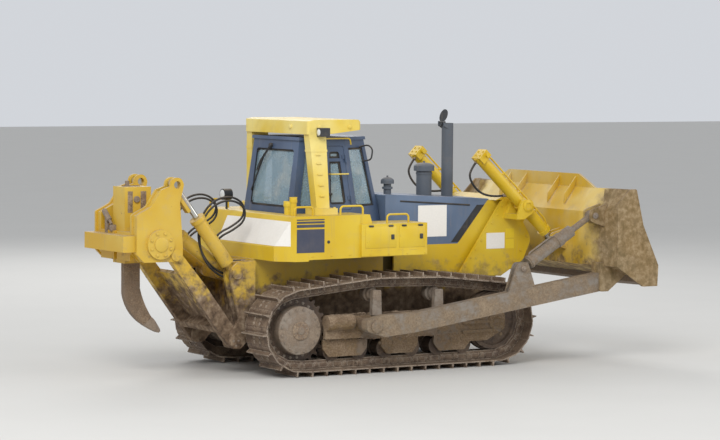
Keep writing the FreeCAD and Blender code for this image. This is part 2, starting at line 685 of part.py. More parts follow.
def make_running_gear():
    """Sprockets, final drives, idlers, rollers and carrier rollers."""
    sprocket = solid("Sprocket_shape", sprocket_shape())
    node("sprockets", both("Sprockets", sprocket))

    cover, hub = S.final_drive_radius, S.final_drive_radius * 0.38
    out, inside = S.final_drive_out, S.hull_half
    case_rows = (
        (0, inside),
        (cover * 0.9, inside, 20),
        (cover * 0.9, TRACK_IN + 20),
        (cover, TRACK_IN + 60),
        (cover, out - 25, 15),
        (hub, out - 8),
        (hub, out),
        (0, out),
    )
    drive = turned("Final_drive", case_rows, 0, 0, AXLE_UP)
    node("final_drives", both("Final_drives", mirror(drive, "Final_drive_right")))

    half_pitch = S.shoe_pitch / 2
    flat = root(S.idler_pitch_radius * S.idler_pitch_radius - half_pitch * half_pitch)
    tread = flat - S.link_in - S.seat_gap
    flange = tread + 24
    rim = S.link_gap / 2 + S.link_wide
    groove = S.link_gap / 2 - S.joint_gap
    idler_rows = (
        (70, -rim - 20),
        (110, -rim - 20, 8),
        (140, -60, 12),
        (tread - 70, -60, 20),
        (tread - 50, -rim),
        (tread, -rim),
        (tread, -groove),
        (flange, -groove + 8),
        (flange, groove - 8),
        (tread, groove),
        (tread, rim),
        (tread - 50, rim),
        (tread - 70, 60, 20),
        (140, 60, 12),
        (110, rim + 20, 8),
        (70, rim + 20),
    )
    idler = turned("Idler", idler_rows, S.wheelbase, -TRACK_MID, IDLER_UP)
    node("idlers", both("Idlers", idler))

    rail_up = PIN_UP + S.link_in
    roller_up = rail_up + S.roller_radius + S.seat_gap
    reach = rim + 26
    shaft = S.frame_half - S.frame_plate - S.seat_gap
    step = (ROLLER_LAST_AT - S.roller_first_at) / (S.roller_count - 1)
    rollers = []
    for i in range(int(S.roller_count.value)):
        rows = (
            (0, -shaft),
            (45, -shaft),
            (45, -reach),
            (S.roller_radius + S.roller_flange, -reach),
            (S.roller_radius + S.roller_flange, -rim - 4),
            (S.roller_radius, -rim - 2),
            (S.roller_radius, rim + 2),
            (S.roller_radius + S.roller_flange, rim + 4),
            (S.roller_radius + S.roller_flange, reach),
            (45, reach),
            (45, shaft),
            (0, shaft),
        )
        at = S.roller_first_at + step * i
        rollers.append(turned(f"Track_roller_{i + 1}", rows, at, -TRACK_MID, roller_up))
    node("track_rollers", both("Track_rollers", group("Track_rollers_right", rollers)))

    # The chain's rail cuts the corner over a carrier roller, so its tread lies below the rail's line.
    tread = S.carrier_radius - 8
    carriers = []
    for name, at, up in (
        ("rear", S.carrier_rear_at, S.carrier_rear_up),
        ("front", CARRIER_FRONT_AT, S.carrier_front_up),
    ):
        rows = (
            (0, -shaft),
            (38, -shaft),
            (38, -rim - 16),
            (S.carrier_radius - 18, -rim - 16),
            (tread, -rim + 2),
            (tread, -S.link_gap / 2),
            (S.carrier_radius + 16, -S.link_gap / 2 + 14),
            (S.carrier_radius + 16, S.link_gap / 2 - 14),
            (tread, S.link_gap / 2),
            (tread, rim),
            (38, rim + 2),
            (38, rim + 30),
            (0, rim + 30),
        )
        wheel = turned(f"Carrier_{name}", rows, at, -TRACK_MID, up)
        post_in, post_out = -TRACK_MID - shaft - 34, -TRACK_MID - shaft
        post = plate(
            f"Carrier_post_{name}",
            "XZ_Plane",
            (
                (at - 78, S.frame_high),
                (at + 78, S.frame_high),
                (at + 66, up + 62, 16),
                (at - 66, up + 62, 16),
            ),
            post_in - 40,
            post_out,
        )
        carriers.append(fuse(f"Carrier_on_post_{name}", [wheel, post]))
    node("carrier_rollers", both("Carrier_rollers", group("Carrier_rollers_right", carriers)))


def make_track_frames():
    """The frames that carry the rollers, with the idler's fork, the roller guards and the side covers."""
    low, high, plate_thick = S.frame_low, S.frame_high, S.frame_plate
    rear = S.sprocket_pitch_radius + 60
    beam_front = S.wheelbase - S.idler_pitch_radius - 30
    beam_outline = (
        (rear, low + 40, 30),
        (rear, high - 30, 40),
        (rear + 260, high),
        (beam_front - 60, high),
        (beam_front, high - 60),
        (beam_front, low),
        (rear + 120, low),
    )
    beam = plate("Frame_beam", "XZ_Plane", beam_outline, -FRAME_OUT, -FRAME_IN)
    fork_outline = (
        (beam_front - 260, low + 10),
        (beam_front - 260, high - 10),
        (S.wheelbase - 120, high + 40, 60),
        (S.wheelbase + 150, IDLER_UP + 110, 70),
        (S.wheelbase + 150, IDLER_UP - 110, 70),
        (S.wheelbase - 160, low - 110, 60),
        (beam_front + 40, low - 110, 40),
    )
    pieces = [beam]
    for name, y_low in (("out", -FRAME_OUT), ("in", -FRAME_IN - plate_thick)):
        pieces.append(plate(f"Fork_{name}", "XZ_Plane", fork_outline, y_low, y_low + plate_thick))
    pieces.append(
        rod("Idler_shaft", (S.wheelbase, -FRAME_OUT, IDLER_UP), "Y", as_size(70) - S.seat_gap, S.frame_half * 2)
    )
    # The guards hang down beside the rollers, in three groups with a gap between each two.
    step = (ROLLER_LAST_AT - S.roller_first_at) / (S.roller_count - 1)
    guard_rows = (("rear", -0.4, 1.24), ("middle", 1.78, 3.17), ("front", 3.79, 5.19))
    for name, first, last in guard_rows:
        g_rear, g_front = S.roller_first_at + step * first, S.roller_first_at + step * last
        outline = (
            (g_rear, low + 20),
            (g_front, low + 20),
            (g_front, S.guard_low + 110, 30),
            (g_front - 90, S.guard_low, 40),
            (g_rear + 90, S.guard_low, 40),
            (g_rear, S.guard_low + 110, 30),
        )
        for side_name, y_low in (("out", -FRAME_OUT), ("in", -FRAME_IN - plate_thick)):
            pieces.append(
                plate(f"Roller_guard_{name}_{side_name}", "XZ_Plane", outline, y_low, y_low + plate_thick)
            )
    # Ribbed cover over the idler's fork on the outside.
    for i in range(3):
        z = IDLER_UP - 150 + i * 130
        pieces.append(
            block(
                f"Fork_rib_{i + 1}",
                (beam_front - 60, S.wheelbase + 60),
                (-FRAME_OUT - 24, -FRAME_OUT),
                (z, z + 40),
            )
        )
    # Trunnion that carries the push arm, and the housing of the pivot shaft behind it.
    trunnion_end = ARM_MID + S.arm_wide / 2 + 12
    pieces.append(
        rod(
            "Arm_trunnion",
            (S.trunnion_at, -trunnion_end, S.trunnion_up),
            "Y",
            S.trunnion_radius,
            trunnion_end - FRAME_OUT,
        )
    )
    pieces.append(
        rod("Pivot_housing", (S.trunnion_at - 560, -FRAME_OUT - 70, S.trunnion_up + 40), "X", 105, 420)
    )
    pieces.append(
        block(
            "Pivot_bracket",
            (S.trunnion_at - 560, S.trunnion_at + 140),
            (-FRAME_OUT - 60, -FRAME_OUT),
            (low + 30, high - 30),
        )
    )
    pair("track_frame", fuse("Track_frame", pieces))

    bar = rod("Pivot_shaft", (S.trunnion_at - 390, S.hull_half, S.trunnion_up), "Y", 110, FRAME_IN - S.hull_half)
    beam_end = block("Equalizer_end", (S.wheelbase - 870, S.wheelbase - 690), (S.hull_half, FRAME_IN), (low + 60, high - 70))
    node("cross_shafts", both("Cross_shafts", group("Cross_shafts_left", [bar, beam_end])))


def make_hull():
    """The hull with its rear case, front rails and belly guard."""
    half, rear, front = S.hull_half, S.hull_rear, HULL_FRONT
    outline = (
        (rear, S.belly_up + 90),
        (rear, S.deck_floor),
        (S.case_front, S.deck_floor),
        (S.case_front, S.hull_top),
        (front, S.hull_top),
        (front, S.belly_up + 330, 60),
        (front - 330, S.belly_up),
        (rear + 160, S.belly_up),
    )
    hull = plate("Hull", "XZ_Plane", outline, -half, half)
    belly = block(
        "Belly", (rear + 240, front - 420), (-half + 30, half - 30), (S.belly_up - S.belly_plate, S.belly_up)
    )
    node("belly_guard", belly)
    engine = block(
        "Engine", (S.case_front + 60, S.hood_slant_foot - 80), (-400, 400), (S.hull_top, S.hood_high - 260)
    )
    node("engine_block", engine)
    # The pull pin stands upright in two plates, so that it goes in from below.
    hook_plates = [
        plate(
            f"Front_hook_{name}",
            "XY_Plane",
            ((front - 5, -130), (front + 110, -110, 40), (front + 195, -60, 50), (front + 195, 60, 50),
             (front + 110, 110, 40), (front - 5, 130)),
            S.belly_up + up,
            S.belly_up + up + 40,
            [(front + 110, 0, 32)],
        )
        for name, up in (("low", 365), ("high", 515))
    ]
    node("main_frame", fuse("Main_frame", [hull] + hook_plates))


def make_body():
    """Fuel tank, fenders, boxes, cab floor, hood, side panels and radiator guard."""
    out, low = S.side_out, S.fender_low
    tank_side = (
        (S.tank_rear, S.deck_floor),
        (S.tank_rear, S.tank_fold),
        (S.tank_top_rear, S.deck_up, 30),
        (S.fender_rear, S.deck_up),
        (S.fender_rear, S.deck_floor),
    )
    tank_plan = (
        (S.tank_rear - 10, -out + S.tank_corner + 20),
        (S.tank_rear + S.tank_corner, -out),
        (S.fender_rear + 10, -out),
        (S.fender_rear + 10, out),
        (S.tank_rear + S.tank_corner, out),
        (S.tank_rear - 10, out - S.tank_corner - 20),
    )
    tank = common(
        "Tank",
        [
            plate("Tank_side", "XZ_Plane", tank_side, -out - 10, out + 10),
            plate("Tank_plan", "XY_Plane", tank_plan, S.deck_floor - 10, S.deck_up + 10),
        ],
    )
    node("fuel_tank", tank)

    inner = S.cab_half_low + 8
    fender_outline = (
        (S.fender_rear, low),
        (S.fender_rear, S.deck_up, 20),
        (S.box_rear, S.deck_up),
        (S.box_rear, S.box_low),
        (S.box_front, S.box_low),
        (S.box_front, low + 20),
    )
    fender = plate("Fender_body", "XZ_Plane", fender_outline, -out, -inner)
    ledge = block("Fender_ledge", (S.box_rear, S.box_front), (-out - S.box_proud - 6, -out), (low + 25, S.box_low))
    node("fenders", both("Fenders", fuse("Fender", [fender, ledge])))
    box = block(
        "Tool_box", (S.box_rear, S.box_front), (-out - S.box_proud, -inner), (S.box_low, S.box_high)
    )
    step = plate(
        "Deck_step",
        "XZ_Plane",
        (
            (S.box_rear, S.box_high),
            (S.box_rear, S.deck_up),
            (S.deck_end - 40, S.deck_up),
            (S.deck_end, S.box_high),
        ),
        -out + 30,
        -inner,
    )
    node("tool_boxes", both("Tool_boxes", fuse("Tool_box_stepped", [box, step])))

    floor = block("Cab_floor_box", (S.fender_rear, S.case_front), (-inner, inner), (S.deck_floor, S.cab_low))
    node("cab_floor", floor)

    half, sheet = S.hood_half, S.hood_sheet
    hood_outline = (
        (S.hood_rear, S.hood_low),
        (S.hood_rear, S.hood_high, 20),
        (S.hood_nose, S.hood_nose_up),
        (S.hood_slant_foot, S.hood_low),
    )
    inside_outline = (
        (S.hood_rear + sheet, S.hood_low - 50),
        (S.hood_rear + sheet, S.hood_high - sheet),
        (S.hood_nose, S.hood_nose_up - sheet),
        (S.hood_nose + 100, S.hood_low - 50),
    )
    hood = cut(
        "Hood",
        plate("Hood_outside", "XZ_Plane", hood_outline, -half, half),
        [
            plate("Hood_inside", "XZ_Plane", inside_outline, -half + sheet, half - sheet),
            rod("Exhaust_hole", (EXHAUST_AT, 0, S.hood_low), "Z", S.exhaust_radius + S.seat_gap, 1200),
            rod("Intake_hole", (INTAKE_AT, 0, S.hood_low), "Z", S.intake_radius + S.seat_gap, 1200),
            rod("Cab_intake_hole", (1990, -300, S.hood_low), "Z", 55 + S.seat_gap, 1200),
        ],
    )
    node("hood", hood)
    strip, under_cowl = 190, 25
    slant = (S.hood_nose - S.hood_slant_foot) / (S.hood_nose_up - S.hood_low)
    panel_outline = (
        (S.case_front + 160, S.hull_top - 70),
        (S.case_front + 160, S.hood_low),
        (S.hood_slant_foot, S.hood_low),
        (S.hood_nose - slant * under_cowl, S.hood_nose_up - under_cowl),
        (S.hood_nose + strip + 45, S.hood_nose_up - under_cowl),
        (S.hood_nose + strip + 50, S.hood_nose_up - 77),
        (S.hood_slant_foot + 42, S.hull_top - 70),
    )
    panel = plate("Side_panel", "XZ_Plane", panel_outline, -half, -S.hull_half)
    node("side_panels", both("Side_panels", panel))

    guard_outline = (
        (S.hood_slant_foot - 40, S.hull_top - 30),
        (S.hood_nose + strip + 25, S.hood_nose_up + 45, 30),
        (S.hood_nose + strip + 130, S.hood_nose_up + 45, 60),
        (GUARD_FRONT, S.hull_top + 450, 160),
        (GUARD_FRONT - 140, S.hull_top + 150, 120),
        (HULL_FRONT, S.hull_top - 75),
    )
    g_half, g_plate = S.guard_half, S.guard_plate
    shell = [plate("Guard_right", "XZ_Plane", guard_outline, -g_half, -g_half + g_plate)]
    shell.append(plate("Guard_left", "XZ_Plane", guard_outline, g_half - g_plate, g_half))
    cowl_outline = (
        (S.hood_nose + 60, S.hood_nose_up - 20),
        (S.hood_nose + strip + 25, S.hood_nose_up + 45),
        (S.hood_nose + strip + 110, S.hood_nose_up + 45),
        (GUARD_FRONT - 190, S.hood_nose_up - 275),
        (GUARD_FRONT - 230, S.hood_nose_up - 315),
        (S.hood_nose + strip + 60, S.hood_nose_up - 10),
    )
    shell.append(plate("Guard_cowl", "XZ_Plane", cowl_outline, -g_half + 5, g_half - 5))
    sill_rear, sill_rise = HULL_FRONT - 120, 40
    sill_end, sill_tip, sill_up = GUARD_FRONT - 230, GUARD_FRONT - 170, S.hull_top + 190
    sill_outline = (
        (sill_rear, S.hull_top),
        (sill_rear, S.hull_top + sill_rise),
        (sill_end, sill_up),
        (sill_tip, sill_up - 40),
        (HULL_FRONT + 40, S.hull_top),
    )
    shell.append(plate("Guard_sill", "XZ_Plane", sill_outline, -g_half + 5, g_half - 5))
    node("radiator_guard", fuse("Guard", shell))
    bars = []
    for i in range(13):
        y = -540 + i * 90
        outline = (
            (sill_end, sill_up),
            (sill_end + 30, sill_up - 20),
            (GUARD_FRONT - 90, S.hull_top + 450),
            (GUARD_FRONT - 165, S.hood_nose_up - 305),
            (GUARD_FRONT - 205, S.hood_nose_up - 305),
            (GUARD_FRONT - 140, S.hull_top + 450),
        )
        bars.append(plate(f"Grille_bar_{i + 1}", "XZ_Plane", outline, y - 9, y + 9))
    cross = block(
        "Grille_cross",
        (GUARD_FRONT - 145, GUARD_FRONT - 115),
        (-g_half + g_plate, g_half - g_plate),
        (S.hull_top + 435, S.hull_top + 465),
    )
    node("grille", fuse("Grille", bars + [cross]))
    slope = (sill_up - S.hull_top - sill_rise) / (sill_end - sill_rear)
    core_rear, core_front = HULL_FRONT - 60, HULL_FRONT + 120
    foot = S.hull_top + sill_rise
    radiator = plate(
        "Radiator_core",
        "XZ_Plane",
        (
            (core_rear, foot + slope * (core_rear - sill_rear)),
            (core_front, foot + slope * (core_front - sill_rear)),
            (core_front, S.hood_nose_up - 85),
            (core_rear, S.hood_nose_up - 85),
        ),
        -S.hull_half + S.joint_gap,
        S.hull_half - S.joint_gap,
    )
    node("radiator", radiator)


def make_stacks():
    """Exhaust pipe with its rain cap, the air pre-cleaner and the cab's small pre-cleaner."""
    base = S.hood_nose_up - 40
    pipe = rod("Exhaust_pipe", (EXHAUST_AT, 0, base - 600), "Z", S.exhaust_radius, S.exhaust_up - base + 600)
    hinge_back = S.exhaust_radius + 14
    hinge_x, hinge_z = EXHAUST_AT - hinge_back, S.exhaust_up + S.joint_gap + 8
    lug_outline = (
        (hinge_x - 16, hinge_z + 16, 15),
        (hinge_x + 16, hinge_z + 16, 15),
        (hinge_x + 16, S.exhaust_up - 4),
        (EXHAUST_AT - 25, S.exhaust_up - 4),
        (EXHAUST_AT - 25, S.exhaust_up - 90),
        (hinge_x - 16, S.exhaust_up - 40),
    )
    hole = [(hinge_x, hinge_z, 9 + S.pin_gap)]
    lug = plate("Rain_lug_right", "XZ_Plane", lug_outline, -80, -66, hole)
    bore = rod("Exhaust_bore", (EXHAUST_AT, 0, base - 700), "Z", S.exhaust_radius - 8, 3000)
    lugged = fuse("Exhaust_lugged", [pipe, lug, mirror(lug, "Rain_lug_left")])
    node("exhaust_pipe", cut("Exhaust", lugged, [bore]))
    flap = rod("Rain_flap", (hinge_back, 0, -4), "Z", S.exhaust_radius + 12, 8)
    hinge = rod("Rain_hinge", (0, -84, 0), "Y", 9, 168)
    knuckle = rod("Rain_knuckle", (0, -58, 0), "Y", 14, 116)
    weight = block("Rain_weight", (-56, 4), (-25, 25), (-9, 9))
    cap = fuse("Rain_cap", [flap, hinge, knuckle, weight])
    node("rain_cap", swing(cap, hinge_x, hinge_z, -S.rain_cap_open.value))
    body = rod("Precleaner_body", (INTAKE_AT, 0, 2330), "Z", S.intake_radius, 400)
    cap_top = rod("Precleaner_cap", (INTAKE_AT, 0, 2730), "Z", S.intake_radius + 38, 70)
    small = rod("Cab_intake_stem", (1990, -300, 2380), "Z", 55, 190)
    small_top = rod("Cab_intake_cap", (1990, -300, 2570), "Z", 95, 45)
    node("air_intakes", group("Air_intakes", [fuse("Precleaner", [body, cap_top]), fuse("Cab_intake", [small, small_top])]))


def cab_corners(up, inset):
    """The six corners of the cab's plan at one height, moved inward by an inset, as plain numbers."""
    share = (up - S.cab_low.value) / (S.cab_high.value - S.cab_low.value)

    def between(low, high):
        return low.value + (high.value - low.value) * share

    rear = between(S.cab_rear_low, S.cab_rear_high)
    half = between(S.cab_half_low, S.cab_half_high)
    bevel = between(S.cab_bevel_low, S.cab_bevel_high)
    front_half = S.cab_front_half.value
    run = (S.cab_front_low - S.cab_bevel_low) / (S.cab_half_low - S.cab_front_half)
    front = bevel + run.value * (half - front_half)
    outline = [
        Vector(rear, -half, up),
        Vector(bevel, -half, up),
        Vector(front, -front_half, up),
        Vector(front, front_half, up),
        Vector(bevel, half, up),
        Vector(rear, half, up),
    ]
    count = len(outline)
    moved = []
    for i, corner in enumerate(outline):
        into = (corner - outline[i - 1]).normalize()
        onward = (outline[(i + 1) % count] - corner).normalize()
        inward_in, inward_on = Vector(-into.y, into.x, 0), Vector(-onward.y, onward.x, 0)
        middle = (inward_in + inward_on).normalize()
        moved.append(corner + middle * (inset / middle.dot(inward_in)))
    return moved


def cab_block(name, inset, low, high):
    """A solid of the cab's form between two heights, smaller by an inset on every side."""
    return between_outlines(name, cab_corners(low, inset), cab_corners(high, inset))


def bevel_cutter(name, margin, low, high, side):
    """A block that cuts the bevelled front window, drawn in the bevel's own direction."""
    bottom, top = cab_corners(low, 0), cab_corners(high, 0)
    points = []
    for corners, ends in ((bottom, (1, 2)), (top, (2, 1))):
        for end, other in (ends, ends[::-1]):
            along = (corners[other] - corners[end]).normalize()
            points.append(corners[end] + along * margin)
    across = (bottom[2] - bottom[1]).normalize()
    outward = Vector(across.y, -across.x, 0)
    depth = S.cab_wall.value * 3
    face = Part.Face(Part.makePolygon(points + points[:1]))
    face.translate(outward * depth)
    shape = face.extrude(outward * (-2 * depth))
    if side > 0:
        shape = shape.mirror(Vector(), Vector(0, 1, 0))
    return solid(name, shape)


def window_cutters(tag, shrink):
    """The cutters of all fixed windows, smaller by a shrink on every side."""
    low, high = S.door_low + 40, S.cab_high - 130
    reach = S.cab_half_low + 40
    rear_half = S.cab_half_high - 110
    cutters = [
        plate(
            f"Window_rear_{tag}",
            "YZ_Plane",
            (
                (-rear_half + shrink, low + shrink, 50),
                (rear_half - shrink, low + shrink, 50),
                (rear_half - shrink, high - shrink, 50),
                (-rear_half + shrink, high - shrink, 50),
            ),
            S.cab_rear_low - 40,
            S.cab_rear_high + 140,
        ),
        plate(
            f"Window_front_{tag}",
            "YZ_Plane",
            (
                (-S.cab_front_half + 60 + shrink, low + shrink, 30),
                (S.cab_front_half - 60 - shrink, low + shrink, 30),
                (S.cab_front_half - 60 - shrink, high + 20 - shrink, 30),
                (-S.cab_front_half + 60 + shrink, high + 20 - shrink, 30),
            ),
            S.cab_bevel_low + 150,
            S.cab_front_low + 60,
        ),
        plate(
            f"Window_sides_{tag}",
            "XZ_Plane",
            (
                (S.cab_rear_low + 140 + shrink, low + shrink, 30),
                (S.door_rear - 70 - shrink, low + shrink, 30),
                (S.door_rear - 70 - shrink, high - shrink, 30),
                (S.cab_rear_high + 100 + shrink, high - shrink, 30),
            ),
            -reach,
            reach,
        ),
    ]
    bottom, top, margin = (low + shrink).value, (high + 20 - shrink).value, 75 + shrink
    for side, side_name in ((-1, "right"), (1, "left")):
        cutters.append(bevel_cutter(f"Window_bevel_{side_name}_{tag}", margin, bottom, top, side))
    return cutters


def door_outline(shrink, extra=0):
    """The door's outline in X and Z, smaller by a shrink; its front edge leans with the bevel."""
    lean = (S.cab_bevel_high - S.cab_bevel_low) / (S.cab_high - S.cab_low)
    edge = S.cab_bevel_low - S.door_pillar
    low, high = S.door_low + shrink, S.door_high - shrink
    return (
        (S.door_rear + shrink, low, 30 + extra),
        (edge + lean * (low - S.cab_low) - shrink, low, 30 + extra),
        (edge + lean * (high - S.cab_low) - shrink, high, 30 + extra),
        (S.door_rear + shrink, high, 30 + extra),
    )


def door_axis(side):
    """A point on the door's hinge line, its upward direction, and the wall's direction and normal."""
    low, high = cab_corners(S.door_low.value, 0), cab_corners(S.door_high.value, 0)
    back = Vector(-S.door_pillar.value + S.joint_gap.value / 2, 0, 0)
    bottom, top = low[1] + back, high[1] + back
    along = (top - bottom).normalize()
    wall = Vector(1, 0, 0)
    wall = (wall - along * wall.dot(along)).normalize()
    outward = wall.cross(along)
    if outward.y > 0:
        outward = outward * -1
    start = bottom + outward * S.hinge_radius.value * 1.2
    return start, along, wall, outward, (top - bottom).Length


def hinge_knuckles(name, of_door):
    """The two knuckles and leaves of one side of the right door's hinge."""
    start, along, wall, outward, length = door_axis(-1)
    radius, tall = S.hinge_radius.value, 55.0
    pieces = []
    for share in (0.16, 0.80):
        foot = start + along * (length * share + (0 if of_door else -tall - S.seat_gap.value))
        barrel = Part.makeCylinder(radius, tall, foot, along)
        run = wall * (-44 if of_door else 24)
        corner = foot - outward * (radius * 1.2 + 0.5)
        start_of_leaf = corner + (wall * -6 if of_door else Vector())
        points = [start_of_leaf, corner + run, corner + run + outward * 8, corner + outward * (radius * 1.2)]
        leaf = Part.Face(Part.makePolygon(points + points[:1])).extrude(along * tall)
        pieces.append(barrel.fuse(leaf))
    return [solid(f"{name}_{i}", piece) for i, piece in enumerate(pieces)]


def make_cab():
    """The hollow cab with its windows, doors, panes, seat and levers."""
    low, high, wall = S.cab_low.value, S.cab_high.value, S.cab_wall.value
    reach = S.cab_half_low + 60
    shell = cut(
        "Cab_hollow",
        cab_block("Cab_outside", 0, low, high),
        [cab_block("Cab_inside", wall, low + wall, high - wall)],
    )
    door_hole = plate("Door_holes", "XZ_Plane", door_outline(0), -reach, reach)
    cab = cut("Cab_walls", shell, window_cutters("hole", 0) + [door_hole])
    fixed = hinge_knuckles("Cab_hinge", False)
    fixed += [mirror(piece, f"{piece.Name}_left") for piece in fixed]
    node("cab_shell", fuse("Cab", [cab, cab_block("Cab_cap", -25, high, high + 45)] + fixed))

    middle = wall / 2
    sheet_out, sheet_in = middle - S.glass_thick.value / 2, middle + S.glass_thick.value / 2
    sheet = cut(
        "Glass_sheet",
        cab_block("Glass_outside", sheet_out, low, high),
        [cab_block("Glass_inside", sheet_in, low - 10, high + 10)],
    )
    panes = common("Panes", [sheet, fuse("Pane_outlines", window_cutters("pane", S.seat_gap.value))])
    node("cab_glass", panes)

    gap, frame = S.joint_gap, S.door_frame
    for side_name, y_low, y_high in (("right", -reach, -S.cab_half_high * 0.8), ("left", S.cab_half_high * 0.8, reach)):
        shell_wall = cut(
            f"Door_wall_{side_name}",
            cab_block(f"Door_outside_{side_name}", 0, low, high),
            [cab_block(f"Door_inside_{side_name}", wall, low - 10, high + 10)],
        )
        blank = common(
            f"Door_blank_{side_name}",
            [shell_wall, plate(f"Door_outline_{side_name}", "XZ_Plane", door_outline(gap), y_low, y_high)],
        )
        hole = plate(f"Door_window_{side_name}", "XZ_Plane", door_outline(gap + frame, 10), -reach, reach)
        mid = (S.door_low + S.door_high) / 2 + 230
        bar = common(
            f"Door_bar_{side_name}",
            [blank, block(f"Door_bar_block_{side_name}", (S.door_rear, S.cab_bevel_low), (-reach, reach), (mid, mid + 45))],
        )
        knuckles = hinge_knuckles(f"Door_hinge_{side_name}", True)
        if side_name == "left":
            knuckles = [mirror(piece, f"{piece.Name}_left") for piece in knuckles]
        door = fuse(f"Door_{side_name}", [cut(f"Door_frame_{side_name}", blank, [hole]), bar] + knuckles)
        node(f"door_{side_name}", door)
        pane_cutter = cut(
            f"Door_pane_cutter_{side_name}",
            plate(f"Door_pane_outline_{side_name}", "XZ_Plane", door_outline(gap + frame + S.seat_gap, 10), y_low, y_high),
            [
                block(
                    f"Door_pane_gap_{side_name}",
                    (S.door_rear, S.cab_bevel_low),
                    (-reach, reach),
                    (mid - S.seat_gap, mid + 45 + S.seat_gap),
                )
            ],
        )
        node(f"door_glass_{side_name}", common(f"Door_panes_{side_name}", [sheet, pane_cutter]))

    floor = S.cab_low + S.cab_wall
    pedestal = block("Seat_pedestal", (560, 860), (-200, 200), (floor, floor + 300))
    cushion = block("Seat_cushion", (520, 1040), (-260, 260), (floor + 300, floor + 430))
    back = plate(
        "Seat_back",
        "XZ_Plane",
        (
            (430, floor + 430, 20),
            (590, floor + 430),
            (530, floor + 1010, 40),
            (400, floor + 1010, 40),
        ),
        -250,
        250,
    )
    heel = block("Seat_heel", (520, 600), (-250, 250), (floor + 429, floor + 440))
    node("seat", fuse("Seat", [pedestal, cushion, back, heel]))
    console = []
    for name, y in (("right", -460), ("left", 330)):
        console.append(block(f"Console_{name}", (640, 1120), (y, y + 130), (floor, floor + 560)))
    dash = block("Dashboard", (1400, 1560), (-300, 300), (floor, floor + 620))
    node("consoles", group("Consoles", console + [dash]))


def leaning_post(name, side):
    """One post of the roll-over frame, wider and further inboard at its head."""
    foot_up, head_up = S.deck_up.value, S.roof_low.value + 10
    outlines = []
    for up, rear, long, near, wide in (
        (foot_up, S.post_foot_rear.value, S.post_foot_long.value, S.post_foot_in.value, S.post_foot_wide.value),
        (head_up, S.post_head_rear.value, S.post_head_long.value, S.post_head_in.value, S.post_foot_wide.value),
    ):
        outlines.append(
            [
                Vector(rear, side * near, up),
                Vector(rear + long, side * near, up),
                Vector(rear + long, side * (near + wide), up),
                Vector(rear, side * (near + wide), up),
            ]
        )
    return between_outlines(name, *outlines)


def make_rollover_frame():
    """The roll-over frame: two posts on base plates and the roof slab."""
    pieces = [leaning_post("Post_right", -1), leaning_post("Post_left", 1)]
    for name, sign in (("right", -1), ("left", 1)):
        y = sorted((sign * (S.post_foot_in.value - 60), sign * (S.post_foot_in.value + S.post_foot_wide.value + 60)))
        pieces.append(
            block(
                f"Post_base_{name}",
                (S.post_foot_rear - 70, S.post_foot_rear + S.post_foot_long + 90),
                (y[0], y[1]),
                (S.deck_up, S.deck_up + 85),
            )
        )
    half = S.roof_half
    slab_plan = (
        (S.roof_rear, -half, 35),
        (S.roof_front, -half + 40, 70),
        (S.roof_front, half - 40, 70),
        (S.roof_rear, half, 35),
    )
    slab_side = (
        (S.roof_rear - 10, S.roof_low),
        (S.roof_rear - 10, S.roof_high - 20),
        (S.roof_rear + 120, S.roof_high),
        (S.roof_front - 60, S.roof_high),
        (S.roof_front + 10, S.roof_high - 60),
        (S.roof_front + 10, S.roof_low + 60),
        (S.post_head_rear + S.post_head_long + 60, S.roof_low),
    )
    pieces.append(
        common(
            "Roof_slab",
            [
                plate("Roof_plan", "XY_Plane", slab_plan, S.roof_low - 10, S.roof_high + 10),
                plate("Roof_side", "XZ_Plane", slab_side, -half - 10, half + 10),
            ],
        )
    )
    node("rollover_frame", fuse("Rollover_frame", pieces))


def bent_rail(name, x_rear, x_front, y, base_up, top_up, radius=14):
    """A handrail of round bar, bent down to the deck at both ends."""
    bend = 50.0
    rear, front = as_size(x_rear).value, as_size(x_front).value
    y, base, top = as_size(y).value, as_size(base_up).value, as_size(top_up).value
    near = Vector(rear, y, top - bend)
    edges = [
        Part.LineSegment(Vector(rear, y, base), near).toShape(),
        Part.Arc(near, Vector(rear + bend * 0.2929, y, top - bend * 0.2929), Vector(rear + bend, y, top)).toShape(),
        Part.LineSegment(Vector(rear + bend, y, top), Vector(front - bend, y, top)).toShape(),
        Part.Arc(
            Vector(front - bend, y, top),
            Vector(front - bend * 0.2929, y, top - bend * 0.2929),
            Vector(front, y, top - bend),
        ).toShape(),
        Part.LineSegment(Vector(front, y, top - bend), Vector(front, y, base)).toShape(),
    ]
    section = Part.Wire([Part.makeCircle(radius, Vector(rear, y, base), Vector(0, 0, 1))])
    return solid(name, Part.Wire(edges).makePipeShell([section], True, False))


def make_small_fittings():
    """Handrails, filler necks, lamps and mirror."""
    rails = []
    for name, rear, front, up in (
        ("deck", -60, 230, S.deck_up),
        ("step", 670, 1030, S.deck_up),
        ("box", 1425, 1775, S.box_high),
    ):
        rails.append(bent_rail(f"Rail_{name}", rear, front, -S.side_out + 90, up, up + 120))
    node("handrails", both("Handrails", group("Handrails_right", rails)))
    necks = [
        rod("Filler_neck", (60, -820, S.deck_up), "Z", 52, 130),
        rod("Filler_tall", (-10, -1090, S.deck_up), "Z", 45, 200),
    ]
    node("filler_necks", group("Filler_necks", necks))
    lamps = []
    for name, sign in (("right", -1), ("left", 1)):
        y = sign * (S.post_head_in + S.post_foot_wide + 5)
        x = S.post_head_rear + S.post_head_long - 150
        y_low, y_high = (y - 110, y) if sign < 0 else (y, y + 110)
        lamps.append(block(f"Post_lamp_{name}", (x, x + 150), (y_low, y_high), (S.roof_low - 30, S.roof_low + 90)))
    stalk = rod("Rear_lamp_stalk", (-40, 760, S.deck_up), "Z", 16, 160)
    head = rod("Rear_lamp_head", (-110, 760, S.deck_up + 210), "X", 80, 130)
    node("work_lamps", group("Work_lamps", lamps + [fuse("Rear_lamp", [stalk, head])]))


# Blade and its linkage



